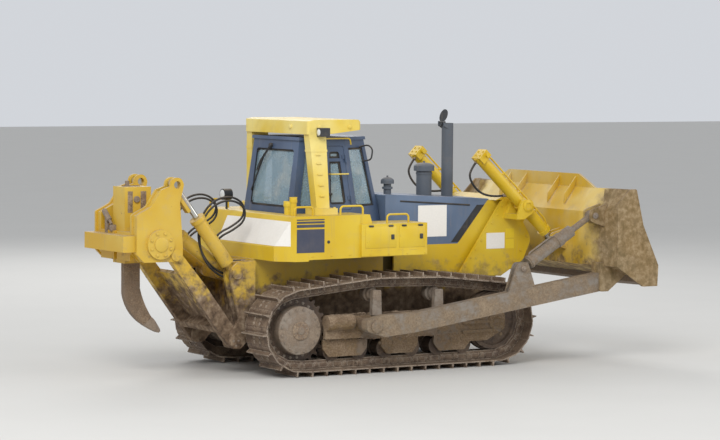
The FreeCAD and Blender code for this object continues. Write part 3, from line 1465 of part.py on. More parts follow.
def make_push_arms():
    """The two push arms: a ball socket at the rear and a box beam up to the blade."""
    deep = S.arm_deep
    y_out, y_in = -ARM_MID - S.arm_wide / 2, -ARM_MID + S.arm_wide / 2
    x, z = S.trunnion_at, S.trunnion_up
    outline = (
        (x - 150, z - 60, 60),
        (x - 150, z + 90, 60),
        (x + 140, z + 150, 60),
        (x + 640, z + 165),
        (BLADE_BACK + 20, S.blade_low + 10),
        (BLADE_BACK + 20, S.blade_low + 10 - deep),
        (x + 640, z + 165 - deep),
        (x + 140, z - 150, 60),
    )
    bearing = [(x, z, S.trunnion_radius + S.pin_gap)]
    beam = plate("Push_arm_beam", "XZ_Plane", outline, y_out, y_in, bearing)
    lug_x, lug_z = S.brace_foot_at, S.brace_foot_up
    lug_outline = (
        (lug_x - 260, lug_z - 400),
        (lug_x - 90, lug_z + 90, 80),
        (lug_x + 90, lug_z + 90, 80),
        (lug_x + 240, lug_z - 340),
    )
    inner, outer = S.brace_foot_wide / 2 + S.seat_gap, S.brace_foot_wide / 2 + S.seat_gap + 30
    lugs = [
        plate("Push_arm_lug_out", "XZ_Plane", lug_outline, -ARM_MID - outer, -ARM_MID - inner),
        plate("Push_arm_lug_in", "XZ_Plane", lug_outline, -ARM_MID + inner, -ARM_MID + outer),
    ]
    pair("push_arm", fuse("Push_arm", [beam] + lugs))


def blade_section():
    """The blade's cross section: a box with a hollow-curved face, as a face in the XZ plane."""
    back, top, low = BLADE_BACK.value, S.blade_top.value, S.blade_low.value
    lip = back + 660
    head = back + 315
    fold = top - 330
    mid = Vector(back + 315, 0, (top + low) / 2 - 15)
    face_arc = Part.Arc(Vector(head, 0, top), mid, Vector(lip, 0, low)).toShape()
    corners = [
        Vector(lip, 0, low),
        Vector(lip - 60, 0, low - 60),
        Vector(back, 0, low + 110),
        Vector(back, 0, fold),
        Vector(head - 90, 0, top),
        Vector(head, 0, top),
    ]
    edges = [face_arc] + [Part.LineSegment(a, b).toShape() for a, b in zip(corners, corners[1:])]
    return Part.Face(Part.Wire(Part.__sortEdges__(edges)))


def make_blade():
    """The blade with its raised middle, end plates, edge and brackets."""
    mid_half, half, sweep = BLADE_MID_HALF.value, BLADE_HALF.value, S.blade_sweep.value
    middle = blade_section()
    middle.translate(Vector(0, -mid_half, 0))
    shape = middle.extrude(Vector(0, 2 * mid_half, 0))
    for side in (-1, 1):
        wing = blade_section()
        wing.translate(Vector(0, side * mid_half, 0))
        shape = shape.fuse(wing.extrude(Vector(sweep, side * (half - mid_half), 0)))
    mouldboard = solid("Mouldboard", shape)
    spill = plate(
        "Spill_plate",
        "YZ_Plane",
        (
            (-BLADE_MID_HALF - 70, S.blade_top - 5),
            (-BLADE_MID_HALF + 350, S.blade_top + S.spill_tall, 40),
            (BLADE_MID_HALF - 350, S.blade_top + S.spill_tall, 40),
            (BLADE_MID_HALF + 70, S.blade_top - 5),
        ),
        BLADE_BACK + 235,
        BLADE_BACK + 275,
    )
    pieces = [mouldboard, spill]
    for name, sign in (("right", -1), ("left", 1)):
        pad_outline = (
            (BLADE_BACK + 20, S.blade_low + 160),
            (BLADE_BACK + 20, S.blade_low - 260, 40),
            (BLADE_BACK + 170, S.blade_low - 260),
            (BLADE_BACK + 480, S.blade_low - 25),
            (BLADE_BACK + 480, S.blade_low + 160),
        )
        mid = sign * ARM_MID
        pieces.append(plate(f"Arm_pad_{name}", "XZ_Plane", pad_outline, mid - 100, mid + 100))
    for name, sign in (("right", -1), ("left", 1)):
        for part_name, offset in (("out", -100), ("in", 62)):
            y = sign * LIFT_MID + offset
            outline = (
                (BLADE_BACK + 2, S.lift_eye_up + 150),
                (LIFT_EYE_AT - 80, S.lift_eye_up + 80, 78),
                (LIFT_EYE_AT - 80, S.lift_eye_up - 80, 78),
                (BLADE_BACK + 2, S.lift_eye_up - 150),
            )
            pieces.append(plate(f"Lift_bracket_{name}_{part_name}", "XZ_Plane", outline, y, y + 38))
        y = sign * ARM_MID
        brace_outline = (
            (BLADE_BACK + S.blade_sweep, S.brace_eye_up + 165),
            (BRACE_EYE_AT - 80, S.brace_eye_up + 80, 60),
            (BRACE_EYE_AT - 80, S.brace_eye_up - 80, 60),
            (BLADE_BACK + S.blade_sweep, S.brace_eye_up - 175),
        )
        seat = S.brace_eye_wide / 2 + S.seat_gap
        for part_name, low in (("low", y - seat - 34), ("high", y + seat)):
            pieces.append(plate(f"Brace_bracket_{name}_{part_name}", "XZ_Plane", brace_outline, low, low + 34))
    edge_outline = (
        (BLADE_BACK + 660, S.blade_low),
        (BLADE_BACK + 702, S.blade_low - 15),
        (BLADE_BACK + 702, S.edge_low + 10),
        (BLADE_BACK + 675, S.edge_low),
        (BLADE_BACK + 630, S.edge_low + 40),
        (BLADE_BACK + 630, S.blade_low - 30),
    )
    edge_face_points = [Vector(as_size(px).value, 0, as_size(pz).value) for px, pz in edge_outline]
    face = Part.Face(Part.makePolygon(edge_face_points + edge_face_points[:1]))
    face.translate(Vector(0, -mid_half, 0))
    edge = face.extrude(Vector(0, 2 * mid_half, 0))
    for side in (-1, 1):
        wing = Part.Face(Part.makePolygon(edge_face_points + edge_face_points[:1]))
        wing.translate(Vector(0, side * mid_half, 0))
        edge = edge.fuse(wing.extrude(Vector(sweep, side * (half - mid_half), 0)))
    node("cutting_edge", solid("Cutting_edge", edge.removeSplitter()))
    end_outline = (
        (BLADE_BACK + sweep, S.blade_low + 110),
        (BLADE_BACK + sweep, S.blade_top - 200),
        (BLADE_BACK + 210 + sweep, S.blade_top + 5, 40),
        (BLADE_BACK + 330 + sweep, S.blade_top + 5, 30),
        (BLADE_BACK + 460 + sweep, S.blade_top - 520),
        (BLADE_BACK + 735 + sweep, S.blade_low + 110),
        (BLADE_BACK + 720 + sweep, S.edge_low),
        (BLADE_BACK + 460 + sweep, S.edge_low, 40),
    )
    end_plate = plate("End_plate", "XZ_Plane", end_outline, -BLADE_HALF - 30, -BLADE_HALF)
    pieces += [end_plate, mirror(end_plate, "End_plate_left")]
    node("blade", fuse("Blade", pieces))


def make_brace_cylinders():
    """The tilt cylinder on the right and the screw brace on the left, from arm lug to blade bracket."""
    length, angle = span(S.brace_foot_at, S.brace_foot_up, BRACE_EYE_AT, S.brace_eye_up)
    foot_wide, eye_wide = S.brace_foot_wide, S.brace_eye_wide
    for label, barrel_radius, rod_radius, mid in (
        ("blade_tilt_cylinder", 88, 45, -ARM_MID),
        ("blade_brace", 62, 46, ARM_MID),
    ):
        foot = rod(f"{label}_foot", (0, -foot_wide / 2, 0), "Y", 84, foot_wide)
        neck = rod(f"{label}_neck", (60, 0, 0), "X", foot_wide / 2 - 2, 85)
        barrel = rod(f"{label}_barrel", (140, 0, 0), "X", barrel_radius, length - 560)
        stem = rod(f"{label}_stem", (length - 420, 0, 0), "X", rod_radius, 370)
        eye = rod(f"{label}_eye", (length, -eye_wide / 2, 0), "Y", 72, eye_wide)
        whole = fuse(label.capitalize(), [foot, neck, barrel, stem, eye])
        node(label, swing(whole, S.brace_foot_at, S.brace_foot_up, angle, mid))


def cylinder_parts(name, tail, head, eye_at, barrel_radius, rod_radius, eye_radius, eye_wide, rod_in, spare):
    """A hydraulic cylinder along its own X axis about its pivot.

    The rod's eye is at eye_at, the rod's inner end at rod_in, and the bore goes on behind it by spare.
    """
    barrel = rod(f"{name}_barrel_bar", (-tail, 0, 0), "X", barrel_radius, tail + head)
    gland = rod(f"{name}_gland", (as_size(head) - 60, 0, 0), "X", as_size(barrel_radius) + 14, 60)
    bore = rod(
        f"{name}_bore",
        (as_size(rod_in) - spare, 0, 0),
        "X",
        as_size(rod_radius) + S.pin_gap,
        as_size(head) - rod_in + spare + 20,
    )
    body = cut(f"{name}_barrel", fuse(f"{name}_barrel_outside", [barrel, gland]), [bore])
    stem = rod(f"{name}_stem", (rod_in, 0, 0), "X", rod_radius, as_size(eye_at) - rod_in - as_size(eye_radius) / 2)
    eye = rod(f"{name}_eye", (eye_at, -as_size(eye_wide) / 2, 0), "Y", eye_radius, eye_wide)
    return body, fuse(f"{name}_rod", [stem, eye])


def span(x0, z0, x1, z1):
    """The length and the turn about Y from one point to another."""
    dx, dz = (as_size(x1) - x0).value, (as_size(z1) - z0).value
    return math.hypot(dx, dz), -math.degrees(math.atan2(dz, dx))


def make_lift_cylinders():
    """The blade's lift cylinders, each swinging in a yoke on the radiator guard."""
    x, z = YOKE_AT, S.lift_yoke_up
    reach, angle = span(x, z, LIFT_EYE_AT, S.lift_eye_up)
    for side_name, sign in (("right", -1), ("left", 1)):
        y = sign * LIFT_MID
        tag = f"Lift_{side_name}"
        body, stem = cylinder_parts(
            tag, S.lift_tail, reach - S.lift_rod_out, reach, S.lift_barrel_radius, S.lift_rod_radius, 72, 114, -880, 100
        )
        head = block(f"{tag}_head", (-S.lift_tail - 12, -S.lift_tail + 105), (-105, 105), (-60, 118))
        port = rod(f"{tag}_port", (-S.lift_tail + 45, -150, 66), "Y", 34, 300)
        trunnion = rod(f"{tag}_trunnion", (0, -S.yoke_reach, 0), "Y", S.yoke_pin_radius, S.yoke_reach * 2)
        ring_piece = rod(f"{tag}_ring", (-62, 0, 0), "X", S.lift_barrel_radius + 18, 124)
        bore = rod(f"{tag}_ring_bore", (-980, 0, 0), "X", S.lift_rod_radius + S.pin_gap, 1580)
        barrel = cut(f"{tag}_whole", fuse(f"{tag}_banded", [body, head, port, trunnion, ring_piece]), [bore])
        node(f"lift_barrel_{side_name}", swing(barrel, x, z, angle, y))
        node(f"lift_rod_{side_name}", swing(stem, x, z, angle, y))
    hole = [(x, z, S.yoke_pin_radius + S.pin_gap)]
    outline = ((x - 190, z - 190), (x - 110, z + 95, 80), (x + 95, z + 95, 80), (x + 95, z - 95, 80), (x - 60, z - 190))
    near = LIFT_MID - S.yoke_reach + S.yoke_plate - 5
    far = LIFT_MID + S.yoke_reach - S.yoke_plate + 5
    yoke = [
        plate("Yoke_inner", "XZ_Plane", outline, -near, -S.guard_half, hole),
        plate("Yoke_outer", "XZ_Plane", outline, -far - S.yoke_plate, -far, hole),
        block("Yoke_bridge", (x - 190, x - 100), (-far - S.yoke_plate, -S.guard_half), (z - 190, z - 112)),
    ]
    node("lift_yokes", both("Lift_yokes", fuse("Lift_yoke", yoke)))


# Ripper

def ear_plates(name, outline, mid, holes, wide=None):
    """Two ear plates either side of an eye at a distance from the middle."""
    wide = S.ripper_eye_wide if wide is None else wide
    inner_low = -mid + wide / 2 + S.joint_gap / 2
    outer_high = -mid - wide / 2 - S.joint_gap / 2
    return [
        plate(f"{name}_in", "XZ_Plane", outline, inner_low, inner_low + S.ripper_ear, holes),
        plate(f"{name}_out", "XZ_Plane", outline, outer_high - S.ripper_ear, outer_high, holes),
    ]


def make_ripper_bracket():
    """The bracket on the rear of the hull, with ears for the arm and for the four cylinders."""
    ax, az, cx, cz = S.ripper_pin_at, S.ripper_pin_up, S.ripper_top_at, S.ripper_top_up
    hole = S.ripper_pin_radius + S.pin_gap
    rear_face = S.hull_rear
    foot = S.belly_up + 90
    outer_outline = (
        (rear_face - 10, S.deck_floor - 20),
        (cx + 20, cz + 150, 60),
        (cx - 100, cz + 60, 90),
        (cx - 100, cz - 90, 60),
        (ax + 60, az + 320),
        (ax - 90, az + 80, 80),
        (ax - 90, az - 90, 85),
        (ax + 90, az - 90, 80),
        (rear_face - 10, foot),
    )
    ear_out = S.ripper_mid + (S.ripper_eye_wide + S.joint_gap) / 2 + S.ripper_ear
    back = block("Bracket_back", (rear_face - 50, rear_face), (-ear_out, ear_out), (foot, S.deck_floor - 20))
    holes = [(ax, az, hole), (cx, cz, hole)]
    pieces = ear_plates("Bracket_main", outer_outline, S.ripper_mid, holes)
    lift_outline = (
        (rear_face - 40, cz + 160),
        (cx + 20, cz + 130, 60),
        (cx - 100, cz + 60, 90),
        (cx - 100, cz - 80, 80),
        (rear_face - 40, cz - 170),
    )
    pieces += ear_plates("Bracket_lift", lift_outline, S.ripper_lift_mid, [(cx, cz, hole)])
    mirrored = [mirror(piece, f"{piece.Name}_left") for piece in pieces]
    node("ripper_bracket", fuse("Ripper_bracket", [back] + pieces + mirrored))


def make_ripper_arm():
    """The lower arm: two side beams with eyes at both ends and a cross plate between them."""
    ax, az = S.ripper_pin_at, S.ripper_pin_up
    reach, angle = span(ax, az, BEAM_PIN_AT, BEAM_PIN_UP)
    half = S.ripper_eye_wide / 2
    hole = S.ripper_pin_radius + S.pin_gap
    outline = (
        (-85, -85, 84),
        (160, -125),
        (reach * 0.6, -125),
        (reach + 85, -85, 84),
        (reach + 85, 85, 84),
        (reach * 0.7, 95),
        (160, 95),
        (-85, 85, 84),
    )
    side = plate(
        "Ripper_arm_side", "XZ_Plane", outline, -S.ripper_mid - half, -S.ripper_mid + half, [(0, 0, hole), (reach, 0, hole)]
    )
    web = block("Ripper_arm_web", (230, reach * 0.72), (-S.ripper_mid, S.ripper_mid), (-120, -60))
    tie = block("Ripper_arm_tie", (230, 330), (-S.ripper_mid, S.ripper_mid), (-120, 90))
    arm = fuse("Ripper_arm", [side, mirror(side, "Ripper_arm_side_left"), web, tie])
    node("ripper_arm", swing(arm, ax, az, angle))


def pin_pair(label, x, z, mid):
    """A pin on each side, through two ears and what lies between them."""
    radius = S.ripper_pin_radius
    long = S.ripper_eye_wide + S.joint_gap + S.ripper_ear * 2
    bar = rod(f"{label}_bar", (x, -mid - long / 2, z), "Y", radius, long)
    head = rod(f"{label}_head", (x, -mid - long / 2 - 22, z), "Y", radius + 30, 21)
    neck = rod(f"{label}_neck", (x, -mid - long / 2 - 2, z), "Y", radius, 4)
    return both(label.capitalize(), fuse(f"{label}_one", [bar, neck, head]))


def make_ripper_beam():
    """The ripper beam: two uprights of ear plates, cross box, shank pocket and push block."""
    bx, bz = BEAM_PIN_AT, BEAM_PIN_UP
    dx, dz = S.ripper_top_at - S.ripper_reach, S.ripper_top_up + S.ripper_rise
    rear, low, high = BEAM_REAR, BEAM_LOW, BEAM_HIGH
    hole = S.ripper_pin_radius + S.pin_gap
    shoulder_up = high + 240
    upright = (
        (bx + 105, low, 60),
        (bx + 105, bz + 130, 60),
        (dx + 40, dz - 240, 60),
        (dx + 100, dz, 60),
        (dx + 60, dz + 98, 90),
        (dx - 85, dz + 98, 90),
        (dx - 110, dz - 20),
        (dx - 240, dz - 62, 30),
        (dx - 390, dz - 290, 120),
        (rear, shoulder_up, 40),
        (rear, low + 110),
        (rear + 110, low),
    )
    pieces = ear_plates("Upright", upright, S.ripper_mid, [(bx, bz, hole), (dx, dz, hole)])
    closing = (
        (dx - 228, dz - 84),
        (dx - 370, dz - 298),
        (rear + 20, shoulder_up - 16),
        (rear + 20, low + 118),
        (rear + 118, low + 5),
        (bx - 180, low + 5),
        (bx - 180, low + 45),
        (rear + 136, low + 45),
        (rear + 60, low + 134),
        (rear + 60, shoulder_up - 46),
        (dx - 340, dz - 330),
        (dx - 192, dz - 104),
    )
    half = S.ripper_eye_wide / 2 + S.joint_gap / 2
    pieces.append(plate("Upright_back", "XZ_Plane", closing, -S.ripper_mid - half, -S.ripper_mid + half))
    disc_out = -S.ripper_mid - half - S.ripper_ear
    pieces.append(rod("Side_cover", (bx - 245, disc_out - 45, bz + 150), "Y", S.cover_radius, 46))
    inner = S.ripper_mid - half - S.ripper_ear
    box_front = SHANK_FRONT + 70
    pieces.append(block("Cross_box", (rear, box_front), (-inner, -S.shank_thick / 2 - S.seat_gap), (low + 10, high)))
    lift_outline = (
        (box_front - 10, RIPPER_EYE_UP + 120),
        (RIPPER_EYE_AT + 80, RIPPER_EYE_UP + 80, 78),
        (RIPPER_EYE_AT + 80, RIPPER_EYE_UP - 80, 78),
        (box_front - 10, RIPPER_EYE_UP - 120),
    )
    pieces += ear_plates("Lift_ear", lift_outline, S.ripper_lift_mid, [])
    mirrored = [mirror(piece, f"{piece.Name}_left") for piece in pieces]
    pocket_half, pocket_out = S.shank_thick / 2 + S.seat_gap, 175
    upward = (low - 40, S.pocket_top)
    tower = [
        block("Pocket_rear", (SHANK_REAR - 60, SHANK_REAR - S.seat_gap), (-pocket_out, pocket_out), upward),
        block("Pocket_front", (SHANK_FRONT + S.seat_gap, SHANK_FRONT + 100), (-pocket_out, pocket_out), upward),
        block("Pocket_right", (SHANK_REAR - 50, SHANK_FRONT + 50), (-pocket_out, -pocket_half), upward),
        block("Pocket_left", (SHANK_REAR - 50, SHANK_FRONT + 50), (pocket_half, pocket_out), upward),
        block("Lift_ear_root", (box_front - 50, box_front + 5), (-inner, inner), (high - 60, RIPPER_EYE_UP + 130)),
        block("Push_block", (rear - S.push_back, rear + 40), (-inner - 150, inner + 150), (high - 260, high - 40)),
    ]
    node("ripper_beam", fuse("Ripper_beam", pieces + mirrored + tower))


def shank_foot():
    """The two corners of the shank's lower end, front and rear, as plain numbers."""
    rear, front = SHANK_REAR.value, SHANK_FRONT.value
    return Vector(front + 180, 0, 790), Vector(rear + 300, 0, 690)


def shank_shape():
    """The curved shank, which ends at the seat of its point."""
    rear, front, top = SHANK_REAR.value, SHANK_FRONT.value, S.shank_top.value
    foot_front, foot_rear = shank_foot()
    rear_low, front_low = Vector(rear, 0, 1130), Vector(front, 0, 1200)
    edges = [
        Part.LineSegment(rear_low, Vector(rear, 0, top)).toShape(),
        Part.LineSegment(Vector(rear, 0, top), Vector(front, 0, top)).toShape(),
        Part.LineSegment(Vector(front, 0, top), front_low).toShape(),
        Part.Arc(front_low, Vector(front + 77, 0, 972), foot_front).toShape(),
        Part.LineSegment(foot_front, foot_rear).toShape(),
        Part.Arc(foot_rear, Vector(rear + 122, 0, 848), rear_low).toShape(),
    ]
    face = Part.Face(Part.Wire(Part.__sortEdges__(edges)))
    half = S.shank_thick.value / 2
    face.translate(Vector(0, -half, 0))
    return face.extrude(Vector(0, 2 * half, 0))


def make_shank():
    """Shank and point."""
    node("ripper_shank", solid("Shank", shank_shape()))
    front = SHANK_FRONT
    foot_front, foot_rear = shank_foot()
    point = plate(
        "Point",
        "XZ_Plane",
        (
            (foot_front.x, foot_front.z),
            (front + 225, 745),
            (front + 300, 625),
            (front + 307, 588, 12),
            (front + 280, 572, 12),
            (front + 175, 622),
            (foot_rear.x, foot_rear.z),
        ),
        -S.shank_thick / 2 - 17,
        S.shank_thick / 2 + 17,
        [(front + 165, 705, 14)],
    )
    node("ripper_point", point)


def make_ripper_cylinders():
    """The ripper's tilt and lift cylinders on both sides."""
    cx, cz = S.ripper_top_at, S.ripper_top_up
    wide = S.ripper_eye_wide
    rows = (
        ("tilt", cx - S.ripper_reach, cz + S.ripper_rise, S.ripper_mid, S.ripper_tilt_out, 380, 170),
        ("lift", RIPPER_EYE_AT, RIPPER_EYE_UP, S.ripper_lift_mid, S.ripper_lift_out, 250, 60),
    )
    for name, x1, z1, mid, rod_out, rod_in, spare in rows:
        reach, angle = span(cx, cz, x1, z1)
        tag = f"Ripper_{name}"
        eye_radius = 78 if name == "tilt" else 72
        body, stem = cylinder_parts(
            tag, -S.ripper_neck, reach - rod_out, reach, S.ripper_barrel_radius, S.ripper_rod_radius, eye_radius, wide, rod_in, spare
        )
        foot = rod(f"{tag}_foot", (0, -wide / 2, 0), "Y", 88, wide)
        neck = rod(f"{tag}_neck", (70, 0, 0), "X", wide / 2 - 5, S.ripper_neck - 60)
        hole = rod(f"{tag}_foot_hole", (0, -wide, 0), "Y", S.ripper_pin_radius + S.pin_gap, wide * 2)
        barrel = cut(f"{tag}_whole", fuse(f"{tag}_footed", [body, foot, neck]), [hole])
        swing(barrel, cx, cz, angle, -mid)
        swing(stem, cx, cz, angle, -mid)
        node(f"ripper_{name}_barrels", both(f"{tag}_barrels", barrel))
        node(f"ripper_{name}_rods", both(f"{tag}_rods", stem))


def make_ripper():
    """Everything behind the hull's rear face."""
    make_ripper_bracket()
    make_ripper_arm()
    node("ripper_rear_pins", pin_pair("rear_pins", BEAM_PIN_AT, BEAM_PIN_UP, S.ripper_mid))
    node("tilt_cylinder_pins", pin_pair("tilt_pins", S.ripper_top_at, S.ripper_top_up, S.ripper_mid))
    fixed = [
        pin_pair("arm_pins", S.ripper_pin_at, S.ripper_pin_up, S.ripper_mid),
        pin_pair("lift_pins", S.ripper_top_at, S.ripper_top_up, S.ripper_lift_mid),
    ]
    node("ripper_front_pins", group("Ripper_front_pins", fixed))
    make_ripper_beam()
    make_shank()
    make_ripper_cylinders()


def check_document():
    """Stop if any object failed or any node's shape is bad."""
    for piece in DOC.Objects:
        if "Invalid" in piece.State or "Error" in piece.State:
            raise RuntimeError(f"{piece.Label} failed: {piece.State}")
    for piece in NODES:
        if piece.Shape.isNull() or not piece.Shape.isValid() or not piece.Shape.Solids:
            raise RuntimeError(f"{piece.Label} has no valid solid")


def write_nodes():
    """Write each node's solids to a STEP file of its own."""
    os.makedirs("parts", exist_ok=True)
    for piece in NODES:
        piece.Shape.exportStep(f"parts/{piece.Label}.step")


def main():
    """Build the machine and write its pieces."""
    make_tracks()
    make_running_gear()
    make_track_frames()
    make_hull()
    make_body()
    make_stacks()
    make_cab()
    make_rollover_frame()
    make_small_fittings()
    make_push_arms()
    make_blade()
    make_brace_cylinders()
    make_lift_cylinders()
    make_ripper()
    DOC.recompute()
    check_document()
    write_nodes()


main()
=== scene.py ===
"""Dresses the crawler bulldozer: finishes, fittings, cab details, lamps, hoses, floor and camera."""

import logging
import math
from dataclasses import dataclass
from enum import Enum
from typing import Callable, Iterable, List, Optional, Sequence, Tuple, Union

import bmesh
import bpy
from mathutils import Matrix, Vector, noise


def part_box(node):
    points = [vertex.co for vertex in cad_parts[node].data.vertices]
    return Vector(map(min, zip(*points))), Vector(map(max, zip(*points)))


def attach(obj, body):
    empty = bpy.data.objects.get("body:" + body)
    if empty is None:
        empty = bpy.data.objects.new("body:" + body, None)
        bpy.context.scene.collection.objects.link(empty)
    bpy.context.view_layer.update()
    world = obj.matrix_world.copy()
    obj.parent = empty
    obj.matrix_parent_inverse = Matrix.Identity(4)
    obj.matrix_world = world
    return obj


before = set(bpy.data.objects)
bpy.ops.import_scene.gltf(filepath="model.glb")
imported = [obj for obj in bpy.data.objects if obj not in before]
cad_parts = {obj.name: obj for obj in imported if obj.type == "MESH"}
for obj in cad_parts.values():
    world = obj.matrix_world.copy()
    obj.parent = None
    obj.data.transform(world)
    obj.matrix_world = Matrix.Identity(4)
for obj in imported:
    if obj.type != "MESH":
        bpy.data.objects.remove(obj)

LOG = logging.getLogger("bulldozer")
Colour = Tuple[float, float, float]
Point = Tuple[float, float, float]
Number = Union[int, float, "Value"]

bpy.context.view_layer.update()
# From the sprocket's axle, which the sizes here are measured from, to the middle of the machine.
AXLE_TO_MIDDLE = 1.5975
RIGHT, LEFT = -1, 1


def colour(text: str) -> Colour:
    """A hexadecimal display colour as linear light.

    Args:
        text: Six hexadecimal digits after a hash sign.

    Returns:
        Red, green and blue in linear light.
    """
    shares = [int(text[i:i + 2], 16) / 255 for i in (1, 3, 5)]
    return tuple(c / 12.92 if c <= 0.04045 else ((c + 0.055) / 1.055) ** 2.4 for c in shares)


def at(x: float, y: float, z: float) -> Vector:
    """A point given from the sprocket's axle, as a point of the machine's frame."""
    return Vector((x - AXLE_TO_MIDDLE, y, z))


class Value:
    """A node's output with arithmetic: each operator adds a Math node."""

    def __init__(self, graph: "Graph", socket: bpy.types.NodeSocket) -> None:
        """Keeps the material's graph and the output that this value stands for."""
        self.graph = graph
        self.socket = socket

    def maths(self, operation: str, first: Number, second: Number, clamp: bool = False) -> "Value":
        """Adds a Math node.

        Args:
            operation: The node's operation.
            first: The first number or value.
            second: The second number or value.
            clamp: Whether the result is kept between 0 and 1.

        Returns:
            The node's output.
        """
        settings = {"operation": operation, "use_clamp": clamp}
        return self.graph.node("ShaderNodeMath", settings, {0: first, 1: second})

    def __add__(self, other: Number) -> "Value":
        """Sum."""
        return self.maths("ADD", self, other)

    def __radd__(self, other: Number) -> "Value":
        """Sum with the number first."""
        return self.maths("ADD", other, self)

    def __sub__(self, other: Number) -> "Value":
        """Difference."""
        return self.maths("SUBTRACT", self, other)

    def __rsub__(self, other: Number) -> "Value":
        """Difference with the number first."""
        return self.maths("SUBTRACT", other, self)

    def __mul__(self, other: Number) -> "Value":
        """Product."""
        return self.maths("MULTIPLY", self, other)

    def __rmul__(self, other: Number) -> "Value":
        """Product with the number first."""
        return self.maths("MULTIPLY", other, self)

    def __truediv__(self, other: Number) -> "Value":
        """Quotient."""
        return self.maths("DIVIDE", self, other)

    def __pow__(self, other: Number) -> "Value":
        """Power."""
        return self.maths("POWER", self, other)

    def __gt__(self, other: Number) -> "Value":
        """One where this value is the greater, and nought elsewhere."""
        return self.maths("GREATER_THAN", self, other)

    def either(self, other: Number) -> "Value":
        """The larger of two values."""
        return self.maths("MAXIMUM", self, other)

    def clipped(self) -> "Value":
        """The value kept between 0 and 1."""
        return self.maths("ADD", self, 0.0, clamp=True)


